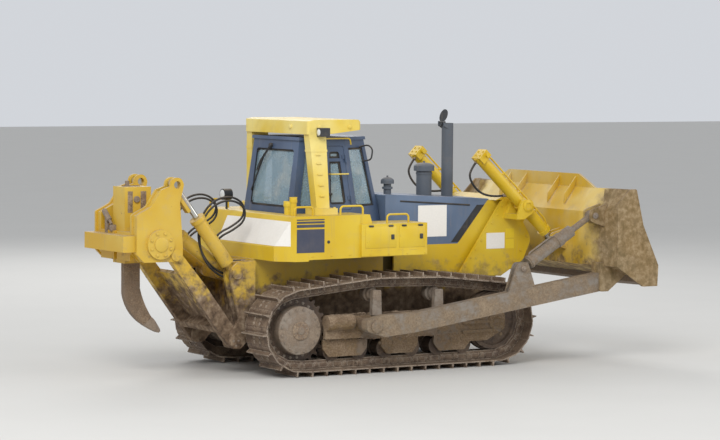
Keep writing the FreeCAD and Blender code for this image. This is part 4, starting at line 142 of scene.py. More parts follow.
class Graph:
    """A material's nodes under one Principled shader."""

    def __init__(self, name: str) -> None:
        """Makes the material and its shader."""
        self.material = bpy.data.materials.new(name)
        self.material.use_nodes = True
        self.tree = self.material.node_tree
        self.tree.nodes.clear()
        self.shader = self.tree.nodes.new("ShaderNodeBsdfPrincipled")
        output = self.tree.nodes.new("ShaderNodeOutputMaterial")
        self.tree.links.new(self.shader.outputs[0], output.inputs["Surface"])
        self.coordinates = self.tree.nodes.new("ShaderNodeTexCoord")

    def node(self, kind: str, settings: dict, inputs: dict, output: Union[int, str] = 0) -> Value:
        """Adds one node.

        Args:
            kind: The node's type.
            settings: Attributes that are set before the inputs are linked; "stops" fills a ramp.
            inputs: Numbers, tuples or values by input name or index.
            output: Which output is returned.

        Returns:
            The chosen output.
        """
        made = self.tree.nodes.new(kind)
        for name, value in settings.items():
            if name == "stops":
                elements = made.color_ramp.elements
                while len(elements) < len(value):
                    elements.new(0.5)
                for element, (position, shade) in zip(elements, value):
                    element.position = position
                    element.color = (*shade, 1.0)
            else:
                setattr(made, name, value)
        for name, value in inputs.items():
            if isinstance(value, Value):
                self.tree.links.new(value.socket, made.inputs[name])
            elif isinstance(value, tuple) and made.inputs[name].type == "RGBA":
                made.inputs[name].default_value = (*value, 1.0)
            else:
                made.inputs[name].default_value = value
        return Value(self, made.outputs[output])

    def place(self, stretch: Point = (1.0, 1.0, 1.0), shift: Point = (0.0, 0.0, 0.0)) -> Value:
        """Object coordinates, stretched and shifted."""
        source = Value(self, self.coordinates.outputs["Object"])
        return self.node("ShaderNodeMapping", {}, {"Vector": source, "Scale": stretch, "Location": shift})

    def axis(self, name: str) -> Value:
        """One of the object coordinates X, Y and Z, in metres."""
        source = Value(self, self.coordinates.outputs["Object"])
        return self.node("ShaderNodeSeparateXYZ", {}, {"Vector": source}, name)

    def upward(self) -> Value:
        """How far the surface faces up: 1 on top, 0 on an upright wall, -1 below."""
        source = Value(self, self.coordinates.outputs["Normal"])
        return self.node("ShaderNodeSeparateXYZ", {}, {"Vector": source}, "Z")

    def noise(self, scale: float, detail: float = 4.0, rough: float = 0.55, stretch: Point = (1.0, 1.0, 1.0),
              shift: Point = (0.0, 0.0, 0.0)) -> Value:
        """Fractal noise from 0 to 1.

        Args:
            scale: Patches in a metre.
            detail: Octaves.
            rough: How strong the finer octaves are.
            stretch: Squeezes the pattern along each axis.
            shift: Moves the pattern.

        Returns:
            The noise's strength.
        """
        inputs = {"Vector": self.place(stretch, shift), "Scale": scale, "Detail": detail, "Roughness": rough}
        return self.node("ShaderNodeTexNoise", {}, inputs)

    def cells(self, scale: float, feature: str = "F1") -> Value:
        """Distance within cells, for clods and pits."""
        inputs = {"Vector": self.place(), "Scale": scale}
        return self.node("ShaderNodeTexVoronoi", {"feature": feature}, inputs)

    def mask(self, value: Value, low: float, high: float) -> Value:
        """Nought below one level of a value, one above the other, and smooth between."""
        settings = {"interpolation_type": "SMOOTHSTEP"}
        return self.node("ShaderNodeMapRange", settings, {"Value": value, "From Min": low, "From Max": high})

    def ramp(self, value: Value, *stops: Tuple[float, Colour]) -> Value:
        """A colour that runs through stops as a value goes from 0 to 1."""
        return self.node("ShaderNodeValToRGB", {"stops": stops}, {0: value})

    def mix(self, share: Number, under: Union[Value, Colour], over: Union[Value, Colour]) -> Value:
        """One colour laid over another.

        Args:
            share: How much of the upper colour shows.
            under: The lower colour.
            over: The upper colour.

        Returns:
            The mixed colour.
        """
        settings = {"data_type": "RGBA"}
        return self.node("ShaderNodeMix", settings, {"Factor": share, 6: under, 7: over}, 2)

    def edges(self, radius: float) -> Value:
        """One near a sharp edge of the solid and nought on its flats."""
        rounded = self.node("ShaderNodeBevel", {"samples": 4}, {"Radius": radius})
        flat = self.node("ShaderNodeNewGeometry", {}, {}, "Normal")
        match = self.node("ShaderNodeVectorMath", {"operation": "DOT_PRODUCT"}, {0: rounded, 1: flat}, "Value")
        return ((1.0 - match) * 6.0).clipped()

    def finish(self, **sockets: Union[Number, Colour]) -> bpy.types.Material:
        """Sets the shader's sockets and returns the material.

        Args:
            sockets: Numbers, colours or values by socket name, with underscores for spaces.

        Returns:
            The finished material.
        """
        for name, value in sockets.items():
            socket = self.shader.inputs[name.replace("_", " ")]
            if isinstance(value, Value):
                self.tree.links.new(value.socket, socket)
            elif isinstance(value, tuple):
                socket.default_value = (*value, 1.0)
            else:
                socket.default_value = value
        return self.material

    def bump(self, height: Value, depth: float, strength: float = 1.0) -> Value:
        """A surface normal pushed by a height in the range 0 to 1."""
        return self.node("ShaderNodeBump", {}, {"Height": height, "Distance": depth, "Strength": strength})


SOIL_DARK, SOIL_MID, SOIL_PALE = colour("#4A3A2C"), colour("#75604B"), colour("#A08C74")
# Pale dry soil, which on shaded steel also serves as painted bounce light.
DRY_SOIL_AND_BOUNCE_LIGHT = colour("#BCA992")
RUST = colour("#6B4023")
BARE_STEEL = colour("#8E8A84")


class Finish:
    """Something a piece is painted, plated or caked with. Each kind builds its material once."""

    name: str

    def build(self) -> bpy.types.Material:
        """Makes the material."""
        raise NotImplementedError

    def material(self) -> bpy.types.Material:
        """The material, made at its first use."""
        return bpy.data.materials.get(self.name) or self.build()


@dataclass(frozen=True)
class Enamel(Finish):
    """Sprayed paint with dust on its upward faces, soil splashed up from below and chipped edges."""

    name: str
    fresh: Colour
    faded: Colour
    gloss: float = 0.36
    dust: float = 0.35
    soil: float = 0.5
    soil_level: float = 1.3
    soil_spread: float = 0.8
    soil_past: float = 9.0
    chips: float = 0.6

    def build(self) -> bpy.types.Material:
        """Makes the material."""
        g = Graph(self.name)
        broad, fine, grain = g.noise(0.9, 3.0), g.noise(7.0, 6.0, 0.62), g.noise(70.0, 3.0)
        paint = g.mix(g.mask(broad, 0.35, 0.68), self.fresh, self.faded)
        streaks = g.noise(5.0, 4.0, 0.6, (2.2, 2.2, 0.22))
        paint = g.mix(g.mask(streaks, 0.55, 0.8) * 0.22, paint, SOIL_PALE)
        dust = (g.mask(g.upward() + fine * 0.5, 0.75, 1.25) * self.dust + g.mask(fine, 0.5, 0.75) * self.dust * 0.4)
        paint = g.mix(dust.clipped(), paint, g.mix(grain, SOIL_PALE, colour("#B9A88F")))
        reach = (self.soil_level - g.axis("Z")) / self.soil_spread + (fine - 0.5) * 2.4
        ends = (g.axis("Y").either(0.0 - g.axis("Y")) - self.soil_past) * 3.0 + fine
        reach = reach.either(ends)
        soil = g.mask(reach, 0.1, 0.9) * self.soil
        earth = g.ramp(g.noise(11.0, 5.0, 0.6), (0.3, SOIL_DARK), (0.5, SOIL_MID), (0.72, SOIL_PALE))
        base = g.mix(soil, paint, earth)
        worn = (g.edges(0.006) * g.mask(g.noise(16.0, 5.0), 0.46, 0.6) * self.chips).clipped()
        base = g.mix(worn, base, g.mix(grain, RUST, BARE_STEEL))
        spots = g.mask(g.noise(34.0, 2.0), 0.72, 0.76) * g.mask(broad, 0.45, 0.6) * self.chips
        base = g.mix(spots, base, RUST)
        rough = (self.gloss + dust * 0.4 + soil * 0.5 + fine * 0.08).clipped()
        height = soil * g.noise(26.0, 6.0, 0.66) * 0.9 + grain * 0.05 + g.noise(2.2, 2.0) * 0.25
        return g.finish(Base_Color=base, Roughness=rough, Normal=g.bump(height, 0.012, 0.55))


@dataclass(frozen=True)
class CakedSteel(Finish):
    """Steel of the undercarriage: patches of soil, rust, and bright wear on the edges."""

    name: str
    steel: Colour = BARE_STEEL
    bright: Colour = BARE_STEEL
    soil: float = 0.8
    wear: float = 0.7
    rust: float = 0.45
    shine: float = 0.8
    paint: Optional[Colour] = None
    paint_left: float = 0.0
    dust_and_bounce_light: float = 0.0
    rim: float = 0.008

    def build(self) -> bpy.types.Material:
        """Makes the material."""
        g = Graph(self.name)
        broad, fine, clod = g.noise(2.6, 4.0, 0.6), g.noise(13.0, 6.0, 0.65), g.noise(42.0, 5.0, 0.7)
        base = g.ramp(fine, (0.3, colour("#4B3527")), (0.55, RUST), (0.75, self.steel))
        base = g.mix(1.0 - self.rust, base, self.steel)
        if self.paint is not None:
            base = g.mix(g.mask(broad + fine * 0.5, 0.62, 0.86) * self.paint_left, base, self.paint)
        earth = g.ramp(clod * 0.5 + broad * 0.5, (0.32, SOIL_DARK), (0.5, SOIL_MID), (0.66, SOIL_PALE))
        soil = (g.mask(broad + fine * 0.6 + g.upward() * 0.12, 0.6, 0.9) * self.soil).clipped()
        base = g.mix(soil, base, earth)
        # A pale film of dry soil over the steel, strong enough to lift shaded steel as painted bounce light, the tracks
        # most of all.
        base = g.mix(g.mask(fine * 0.5 + clod * 0.5, 0.3, 0.6) * self.dust_and_bounce_light, base, DRY_SOIL_AND_BOUNCE_LIGHT)
        worn = (g.edges(self.rim) * g.mask(fine, 0.34, 0.5) * self.wear).clipped()
        base = g.mix(worn, base, self.bright)
        rough = (0.62 + soil * 0.33 - worn * 0.25).clipped()
        height = soil * clod + soil * fine * 0.8 + fine * 0.1
        metal = (worn * self.shine).clipped()
        return g.finish(Base_Color=base, Roughness=rough, Metallic=metal, Normal=g.bump(height, 0.02, 0.7))


@dataclass(frozen=True)
class HardChrome(Finish):
    """A cylinder rod's chrome with a film of dust and oil along it."""

    name: str

    def build(self) -> bpy.types.Material:
        """Makes the material."""
        g = Graph(self.name)
        film = g.mask(g.noise(6.0, 4.0), 0.4, 0.75)
        base = g.mix(film * 0.55, colour("#C9C8C2"), SOIL_PALE)
        return g.finish(Base_Color=base, Metallic=(1.0 - film * 0.6), Roughness=film * 0.35 + 0.14)


@dataclass(frozen=True)
class Pane(Finish):
    """Window glass with patches of dust, which lets the cab show through."""

    name: str
    tint: Colour

    def build(self) -> bpy.types.Material:
        """Makes the material."""
        g = Graph(self.name)
        dust = g.mask(g.noise(2.4, 5.0, 0.6), 0.42, 0.74)
        speck = g.mask(g.noise(46.0, 3.0), 0.55, 0.72)
        base = g.mix(dust * 0.6, self.tint, colour("#B7B4A8"))
        alpha = (0.36 + dust * 0.22 + speck * 0.12).clipped()
        made = g.finish(Base_Color=base, Alpha=alpha, Roughness=dust * 0.3 + 0.05, Specular_IOR_Level=0.8)
        made.surface_render_method = "BLENDED"
        return made


@dataclass(frozen=True)
class Moulded(Finish):
    """Plastic, rubber or vinyl with a fine grain and a little dust."""

    name: str
    shade: Colour
    rough: float = 0.6
    grain: float = 160.0
    dust: float = 0.25

    def build(self) -> bpy.types.Material:
        """Makes the material."""
        g = Graph(self.name)
        pebble, broad = g.noise(self.grain, 2.0), g.noise(3.0, 5.0, 0.6)
        film = (g.mask(broad + g.upward() * 0.2, 0.4, 0.85) * self.dust).clipped()
        base = g.mix(film, g.mix(pebble * 0.12, self.shade, colour("#5C5B58")), SOIL_PALE)
        rough = (self.rough + film * 0.3 + pebble * 0.06).clipped()
        return g.finish(Base_Color=base, Roughness=rough, Normal=g.bump(pebble, 0.0015, 0.5))


@dataclass(frozen=True)
class Lens(Finish):
    """A lamp's pale glass with fine upright ribs."""

    name: str
    shade: Colour

    def build(self) -> bpy.types.Material:
        """Makes the material."""
        g = Graph(self.name)
        settings = {"wave_type": "BANDS", "bands_direction": "X"}
        ribs = g.node("ShaderNodeTexWave", settings, {"Vector": g.place(), "Scale": 60.0})
        base = g.mix(g.mask(g.noise(12.0, 4.0), 0.4, 0.8) * 0.4, self.shade, SOIL_PALE)
        return g.finish(Base_Color=base, Roughness=ribs * 0.1 + 0.12, Normal=g.bump(ribs, 0.002, 0.4))


class Coat(Enum):
    """The machine's finishes."""

    BODY = Enamel("yellow_enamel", colour("#D2AD17"), colour("#DDBE35"), dust=0.3, soil=0.55, soil_level=1.55, soil_spread=0.5)
    UPPER = Enamel("yellow_enamel_roof", colour("#DDBC2C"), colour("#EDDA86"), dust=0.35, soil=0.1, soil_level=1.0, chips=0.4)
    RIPPER = Enamel("yellow_enamel_ripper", colour("#CBA126"), colour("#D3B24A"), dust=0.55, soil=1.0, soil_level=1.68,
                    soil_spread=0.8, chips=1.0)
    BLADE = Enamel("yellow_enamel_blade", colour("#CDA62C"), colour("#DCC787"), dust=0.7, soil=0.85, soil_level=1.75,
                   soil_spread=0.6, soil_past=1.55, chips=1.0)
    SLATE = Enamel("slate_enamel", colour("#3E4E68"), colour("#4F617D"), gloss=0.32, dust=0.12, soil=0.3, soil_level=1.6, chips=0.3)
    HOOD = Enamel("hood_enamel", colour("#56677F"), colour("#6B7D97"), gloss=0.4, dust=0.18, soil=0.3, soil_level=1.6, chips=0.3)
    STACK = Enamel("exhaust_enamel", colour("#494F58"), colour("#5B6169"), gloss=0.6, dust=0.2, soil=0.0, chips=0.8)
    DARK = Enamel("dark_enamel", colour("#26282B"), colour("#34373A"), gloss=0.5, dust=0.35, soil=0.4, soil_level=1.5, chips=0.4)
    ENGINE = Enamel("engine_enamel", colour("#6E6130"), colour("#7B7048"), gloss=0.5, dust=0.6, soil=0.5, soil_level=1.6)
    CASE = CakedSteel("caked_case", colour("#857D6C"), colour("#A89C88"), soil=0.95, wear=0.3, paint=colour("#C79C2A"), paint_left=0.4)
    ARM = CakedSteel("caked_arm", colour("#8E867B"), soil=0.7, wear=0.4, rust=0.1, shine=0.2, paint=colour("#C9A85A"),
                     paint_left=0.2)
    HUB = CakedSteel("caked_hub", colour("#9A9082"), soil=0.6, wear=0.4, rust=0.2, shine=0.3)
    # The tracks' pale film is partly dust and partly painted bounce light on their shaded run.
    TRACK = CakedSteel("caked_track", colour("#4A3F36"), colour("#B3A594"), soil=0.65, wear=1.0, rust=0.35, shine=0.1, dust_and_bounce_light=0.16,
                       rim=0.022)
    IRON = CakedSteel("oily_iron", colour("#35302C"), colour("#8A8178"), soil=0.4, wear=0.6, rust=0.2, shine=0.3, dust_and_bounce_light=0.06)
    BARE = CakedSteel("worn_bare_steel", colour("#9B958B"), soil=0.55, wear=0.7, shine=0.6, dust_and_bounce_light=0.2)
    SHANK = CakedSteel("caked_shank", colour("#80725F"), soil=0.8, wear=0.4, rust=0.4, shine=0.4, dust_and_bounce_light=0.1)
    MUD = CakedSteel("caked_mud", colour("#7A6550"), soil=1.0, wear=0.0, shine=0.0, dust_and_bounce_light=0.35)
    # The main frame's yellow: soil splashed up low down, over a darker copy of the body's yellow that is painted shade
    # for the frame under the fenders.
    HULL_DIRT_AND_SHADE = Enamel("yellow_enamel_hull_dirt_and_shade", colour("#BF9A1F"), colour("#C9AC3F"), dust=0.7, soil=1.0, soil_level=1.42, soil_spread=0.4,
                  chips=0.8)
    CHROME = HardChrome("dusty_chrome")
    GLASS = Pane("dusty_pane", colour("#A6C4D4"))
    VINYL = Moulded("grained_vinyl", colour("#2B2C30"), 0.55)
    PLASTIC = Moulded("grained_plastic", colour("#232427"), 0.5, dust=0.3)
    RUBBER = Moulded("black_rubber", colour("#1B1B1C"), 0.7, 60.0, 0.3)
    PLATE = Moulded("blank_plate", colour("#F4F0E8"), 0.45, 40.0, 0.1)
    STRIPE = Moulded("dark_plate", colour("#3C4154"), 0.4, 40.0, 0.15)
    SIGN = Moulded("yellow_plate", colour("#E8C81E"), 0.4, 40.0, 0.2)
    LENS = Lens("lamp_lens", colour("#DDE0DE"))


# Which finish each solid of the machine wears.
NODE_COATS = {
    Coat.BODY: ("fuel_tank", "fenders", "tool_boxes", "side_panels", "radiator_guard", "handrails", "lift_barrel_left",
                "lift_barrel_right", "lift_yokes", "filler_necks"),
    Coat.UPPER: ("rollover_frame",),
    Coat.RIPPER: ("ripper_bracket", "ripper_arm", "ripper_beam", "ripper_tilt_barrels", "ripper_lift_barrels",
                  "ripper_front_pins", "ripper_rear_pins", "tilt_cylinder_pins"),
    Coat.BLADE: ("blade",),
    Coat.SLATE: ("cab_shell", "door_left", "door_right"),
    Coat.HOOD: ("hood",),
    Coat.STACK: ("exhaust_pipe", "air_intakes"),
    Coat.DARK: ("rain_cap", "grille", "radiator", "cab_floor", "work_lamps"),
    Coat.ENGINE: ("engine_block",),
    Coat.HULL_DIRT_AND_SHADE: ("main_frame",),
    Coat.CASE: ("belly_guard", "track_frame_left", "track_frame_right", "cross_shafts"),
    Coat.ARM: ("push_arm_left", "push_arm_right", "blade_tilt_cylinder", "blade_brace"),
    Coat.TRACK: ("track_left", "track_right"),
    Coat.IRON: ("sprockets", "idlers", "track_rollers"),
    Coat.BARE: ("cutting_edge", "ripper_point"),
    Coat.SHANK: ("ripper_shank",),
    Coat.HUB: ("final_drives", "carrier_rollers"),
    Coat.CHROME: ("lift_rod_left", "lift_rod_right", "ripper_lift_rods", "ripper_tilt_rods"),
    Coat.GLASS: ("cab_glass", "door_glass_left", "door_glass_right"),
    Coat.VINYL: ("seat",),
    Coat.PLASTIC: ("consoles",),
}


def dress_nodes() -> None:
    """Gives every solid its finish."""
    for coat, names in NODE_COATS.items():
        for name in names:
            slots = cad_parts[name].data.materials
            slots.clear()
            slots.append(coat.value.material())
            LOG.info("solid %s wears %s", name, coat.name)


UP = Vector((0.0, 0.0, 1.0))
OUT_RIGHT, OUT_LEFT = Vector((0.0, -1.0, 0.0)), Vector((0.0, 1.0, 0.0))


def outward(side: int) -> Vector:
    """The direction away from the machine's middle on one side."""
    return OUT_RIGHT if side == RIGHT else OUT_LEFT


def aim(place: Vector, direction: Vector, spin_deg: float = 0.0) -> Matrix:
    """The matrix that puts a shape's own Z along a direction at a point.

    Args:
        place: Where the shape's origin goes.
        direction: Where its own Z points.
        spin_deg: Turn about its own Z before it is aimed.

    Returns:
        The placing matrix.
    """
    turn = direction.to_track_quat("Z", "Y").to_matrix().to_4x4()
    return Matrix.Translation(place) @ turn @ Matrix.Rotation(math.radians(spin_deg), 4, "Z")


class Form:
    """A mesh that grows by small shapes and ends as one piece of the machine."""

    def __init__(self) -> None:
        """Starts empty."""
        self.mesh = bmesh.new()

    def take(self, shape: bmesh.types.BMesh, matrix: Matrix) -> None:
        """Adds a finished shape at a place and frees it."""
        bmesh.ops.transform(shape, matrix=matrix, verts=shape.verts)
        scratch = bpy.data.meshes.new("scratch")
        shape.to_mesh(scratch)
        shape.free()
        self.mesh.from_mesh(scratch)
        bpy.data.meshes.remove(scratch)

    def slab(self, size: Point, matrix: Matrix, bevel: float = 0.003) -> None:
        """A block with bevelled edges about its own origin.

        Args:
            size: Its length on each of its own axes.
            matrix: Where it goes.
            bevel: Width of the bevel.
        """
        shape = bmesh.new()
        bmesh.ops.create_cube(shape, size=1.0)
        bmesh.ops.transform(shape, matrix=Matrix.Diagonal((*size, 1.0)), verts=shape.verts)
        bmesh.ops.bevel(shape, geom=shape.edges[:], offset=bevel, affect="EDGES", segments=2, profile=0.5, material=-1)
        self.take(shape, matrix)

    def lathe(self, rows: Sequence[Tuple[float, float]], matrix: Matrix, steps: int = 24) -> None:
        """A turned shape about its own Z.

        Args:
            rows: Radius and height of each point of its outline.
            matrix: Where it goes.
            steps: Sides of the turned shape.
        """
        shape = bmesh.new()
        points = [shape.verts.new((radius, 0.0, height)) for radius, height in rows]
        edges = [shape.edges.new(pair) for pair in zip(points, points[1:])]
        bmesh.ops.spin(shape, geom=points + edges, cent=(0, 0, 0), axis=(0, 0, 1), angle=math.tau, steps=steps, use_merge=True)
        bmesh.ops.remove_doubles(shape, verts=shape.verts, dist=1e-5)
        self.take(shape, matrix)

    def web(self, outline: Sequence[Tuple[float, float]], y: float, thick: float) -> None:
        """A flat plate in an XZ plane.

        Args:
            outline: Its corners' X and Z, in the drafting frame.
            y: The Y of its middle.
            thick: Its thickness.
        """
        shape = bmesh.new()
        face = shape.faces.new([shape.verts.new(at(x, y - thick / 2, z)) for x, z in outline])
        grown = bmesh.ops.extrude_face_region(shape, geom=[face])["geom"]
        moved = [item for item in grown if isinstance(item, bmesh.types.BMVert)]
        bmesh.ops.translate(shape, vec=(0.0, thick, 0.0), verts=moved)
        bmesh.ops.recalc_face_normals(shape, faces=shape.faces)
        bmesh.ops.bevel(shape, geom=shape.edges[:], offset=0.003, affect="EDGES", segments=2, profile=0.5, material=-1)
        self.take(shape, Matrix())

    def bolt(self, place: Vector, direction: Vector, radius: float, spin_deg: float = 0.0) -> None:
        """A hexagonal bolt head on its washer."""
        matrix = aim(place, direction, spin_deg)
        tall = radius * 0.75
        self.lathe(((radius * 1.4, -0.004), (radius * 1.4, tall * 0.2), (0.0, tall * 0.24)), matrix, 16)
        head = ((radius, tall * 0.1), (radius, tall * 0.85), (radius * 0.84, tall), (0.0, tall))
        self.lathe(head, matrix, 6)

    def bolts(self, middle: Vector, direction: Vector, circle: float, count: int, radius: float) -> None:
        """A circle of bolts round a point."""
        for i in range(count):
            arm = Matrix.Rotation(math.tau * (i + 0.5) / count, 4, direction) @ Vector((0.0, 0.0, circle))
            self.bolt(middle + arm, direction, radius, 17.0 * i)

    def pad(self, size: Point, matrix: Matrix, crown: float = 0.22) -> None:
        """A stuffed cushion: crowned faces, sides pulled in between its corners and a welt round its middle.

        Args:
            size: Its length on each of its own axes; the shortest one is its thickness.
            matrix: Where it goes.
            crown: Share of the thickness that the faces lose towards their rims.
        """
        shape = bmesh.new()
        bmesh.ops.create_cube(shape, size=2.0)
        bmesh.ops.subdivide_edges(shape, edges=shape.edges[:], cuts=14, use_grid_fill=True)
        thin = min(range(3), key=lambda axis: size[axis])
        wide, long = [axis for axis in range(3) if axis != thin]
        for vert in shape.verts:
            across, along, up = vert.co[wide], vert.co[long], vert.co[thin]
            rim = max(abs(across), abs(along))
            vert.co[wide] = across * (1.0 - 0.05 * (1.0 - along * along)) * (1.0 - 0.07 * up * up * up * up)
            vert.co[long] = along * (1.0 - 0.05 * (1.0 - across * across)) * (1.0 - 0.07 * up * up * up * up)
            channel = 0.06 * math.exp(-((abs(across) - 0.45) / 0.05) ** 2) if rim < 0.93 else 0.0
            vert.co[thin] = up * (1.0 - crown * rim ** 4 - channel)
        bmesh.ops.smooth_vert(shape, verts=shape.verts, factor=0.5, use_axis_x=True, use_axis_y=True, use_axis_z=True)
        bmesh.ops.transform(shape, matrix=Matrix.Diagonal((size[0] / 2, size[1] / 2, size[2] / 2, 1.0)), verts=shape.verts)
        self.take(shape, matrix)

    def tube(self, points: Sequence[Vector], radius: float, bend: float = 0.0, sides: int = 12) -> None:
        """A round bar along points, with its corners bent.

        Args:
            points: The corners that the bar's middle line runs through.
            radius: The bar's radius.
            bend: Radius of the bends.
            sides: Sides of the bar.
        """
        line = rounded(points, bend)
        shape = bmesh.new()
        rings = []
        across = (line[1] - line[0]).orthogonal().normalized()
        for i, point in enumerate(line):
            onward = (line[min(i + 1, len(line) - 1)] - line[max(i - 1, 0)]).normalized()
            across = (across - onward * across.dot(onward)).normalized()
            third = onward.cross(across)
            turns = [math.tau * k / sides for k in range(sides)]
            rings.append([shape.verts.new(point + (across * math.cos(a) + third * math.sin(a)) * radius) for a in turns])
        for here, there in zip(rings, rings[1:]):
            for k in range(sides):
                after = (k + 1) % sides
                shape.faces.new((here[k], here[after], there[after], there[k]))
        for ring in (rings[0], rings[-1]):
            shape.faces.new(ring)
        self.take(shape, Matrix())

    def cling(self, node: str, keep: Callable[[Vector, Vector], bool], planes: Sequence[Tuple[Vector, Vector]],
              thick: float = 0.003, border: float = 0.0) -> None:
        """A thin skin on a solid's own faces.

        Args:
            node: The solid.
            keep: Which faces it covers, by middle and normal.
            planes: Cuts; what lies on a plane's positive side goes.
            thick: How far it stands out.
            border: With a width, only a band of that width round the rim stays.
        """
        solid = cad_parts[node]
        shape = bmesh.new()
        shape.from_mesh(solid.data)
        bmesh.ops.transform(shape, matrix=solid.matrix_world, verts=shape.verts)
        shape.normal_update()
        unwanted = [face for face in shape.faces if not keep(face.calc_center_median(), face.normal)]
        bmesh.ops.delete(shape, geom=unwanted, context="FACES")
        for point, normal in planes:
            geometry = shape.verts[:] + shape.edges[:] + shape.faces[:]
            bmesh.ops.bisect_plane(shape, geom=geometry, plane_co=point, plane_no=normal, clear_outer=True)
        bmesh.ops.remove_doubles(shape, verts=shape.verts, dist=1e-5)
        bmesh.ops.dissolve_limit(shape, angle_limit=0.01, verts=shape.verts, edges=shape.edges)
        if border:
            rim = bmesh.ops.inset_region(shape, faces=shape.faces[:], thickness=border, use_boundary=True, use_even_offset=True)["faces"]
            inner = [face for face in shape.faces if face not in rim]
            bmesh.ops.delete(shape, geom=inner, context="FACES")
        shape.normal_update()
        shifts = {vert: vert.normal.copy() for vert in shape.verts}
        grown = bmesh.ops.extrude_face_region(shape, geom=shape.faces[:])
        for vert in [item for item in grown["geom"] if isinstance(item, bmesh.types.BMVert)]:
            nearest = min(shifts, key=lambda old: (old.co - vert.co).length_squared)
            vert.co += shifts[nearest] * thick
        self.take(shape, Matrix())

    def clod(self, place: Vector, size: float, flat: float, seed: float, thin: float = 1.0) -> None:
        """A lump of caked soil.

        Args:
            place: Its middle.
            size: Its radius.
            flat: How much it is flattened in Z.
            seed: Sets its own shape.
            thin: How much it is flattened in Y.
        """
        shape = bmesh.new()
        bmesh.ops.create_icosphere(shape, subdivisions=2, radius=size)
        for vert in shape.verts:
            vert.co *= 0.75 + 0.6 * noise.noise(vert.co / size * 1.3 + Vector((seed, 0.0, 0.0)))
            vert.co.z *= flat
            vert.co.y *= thin
        self.take(shape, Matrix.Translation(place))

    def done(self, name: str, body: str, coat: Coat, slot: str, smooth_deg: float = 35.0) -> bpy.types.Object:
        """Ends the mesh as a piece that rides on a body.

        Args:
            name: The piece's name.
            body: The body of the record that it moves with.
            coat: What it is finished with.
            slot: Not used.
            smooth_deg: Edges flatter than this are shaded smooth.

        Returns:
            The piece.
        """
        bmesh.ops.recalc_face_normals(self.mesh, faces=self.mesh.faces)
        limit = math.radians(smooth_deg)
        for face in self.mesh.faces:
            face.smooth = True
        for edge in self.mesh.edges:
            edge.smooth = len(edge.link_faces) == 2 and edge.calc_face_angle(0.0) < limit
        mesh = bpy.data.meshes.new(name)
        self.mesh.to_mesh(mesh)
        self.mesh.free()
        mesh.materials.append(coat.value.material())
        piece = bpy.data.objects.new(name, mesh)
        bpy.context.scene.collection.objects.link(piece)
        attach(piece, body)
        LOG.info("piece %s on %s", name, body)
        return piece


def rounded(points: Sequence[Vector], bend: float) -> List[Vector]:
    """A line through points whose inner corners are bent.

    Args:
        points: The line's corners.
        bend: How far from each corner its bend starts.

    Returns:
        The bent line's points.
    """
    if bend <= 0.0:
        return [Vector(point) for point in points]
    line = [Vector(points[0])]
    for before, corner, after in zip(points, points[1:], points[2:]):
        first = corner + (before - corner).normalized() * min(bend, (before - corner).length * 0.45)
        last = corner + (after - corner).normalized() * min(bend, (after - corner).length * 0.45)
        for k in range(7):
            share = k / 6
            line.append(first.lerp(corner, share).lerp(corner.lerp(last, share), share))
    line.append(Vector(points[-1]))
    return line


class Belt:
    """The line of a track's chain pins, as the CAD draws it."""

    pitch: float = 0.2286
    circles: Tuple[Tuple[float, float, float], ...] = (
        (0.0, 0.636, 0.496), (3.25, 0.630, 0.490), (2.25, 1.062, 0.168), (1.23, 1.085, 0.168))
    link_face: float = 1.153
    shoe_out: float = 0.074

    def pins(self) -> List[Vector]:
        """The pins' places in the XZ plane.

        Returns:
            Evenly spaced points round the belt, from the sprocket's axle.
        """
        spots = [(Vector((x, 0.0, z)), radius) for x, z, radius in self.circles]
        rays = []
        for (here, r_here), (there, r_there) in zip(spots, spots[1:] + spots[:1]):
            gap = there - here
            rays.append(math.atan2(gap.z, gap.x) + math.asin((r_here - r_there) / gap.length) - math.pi / 2)
        line = []
        for i, (centre, radius) in enumerate(spots):
            start, sweep = rays[i - 1], (rays[i] - rays[i - 1]) % math.tau
            steps = max(2, int(sweep / 0.01))
            for k in range(steps + 1):
                turn = start + sweep * k / steps
                line.append(centre + Vector((math.cos(turn), 0.0, math.sin(turn))) * radius)
        lengths = [(b - a).length for a, b in zip(line, line[1:] + line[:1])]
        total = sum(lengths)
        count = round(total / self.pitch)
        found, run, i = [], 0.0, 0
        for k in range(count):
            while run + lengths[i] < total * k / count:
                run += lengths[i]
                i += 1
            share = (total * k / count - run) / lengths[i]
            found.append(line[i].lerp(line[(i + 1) % len(line)], share))
        return found


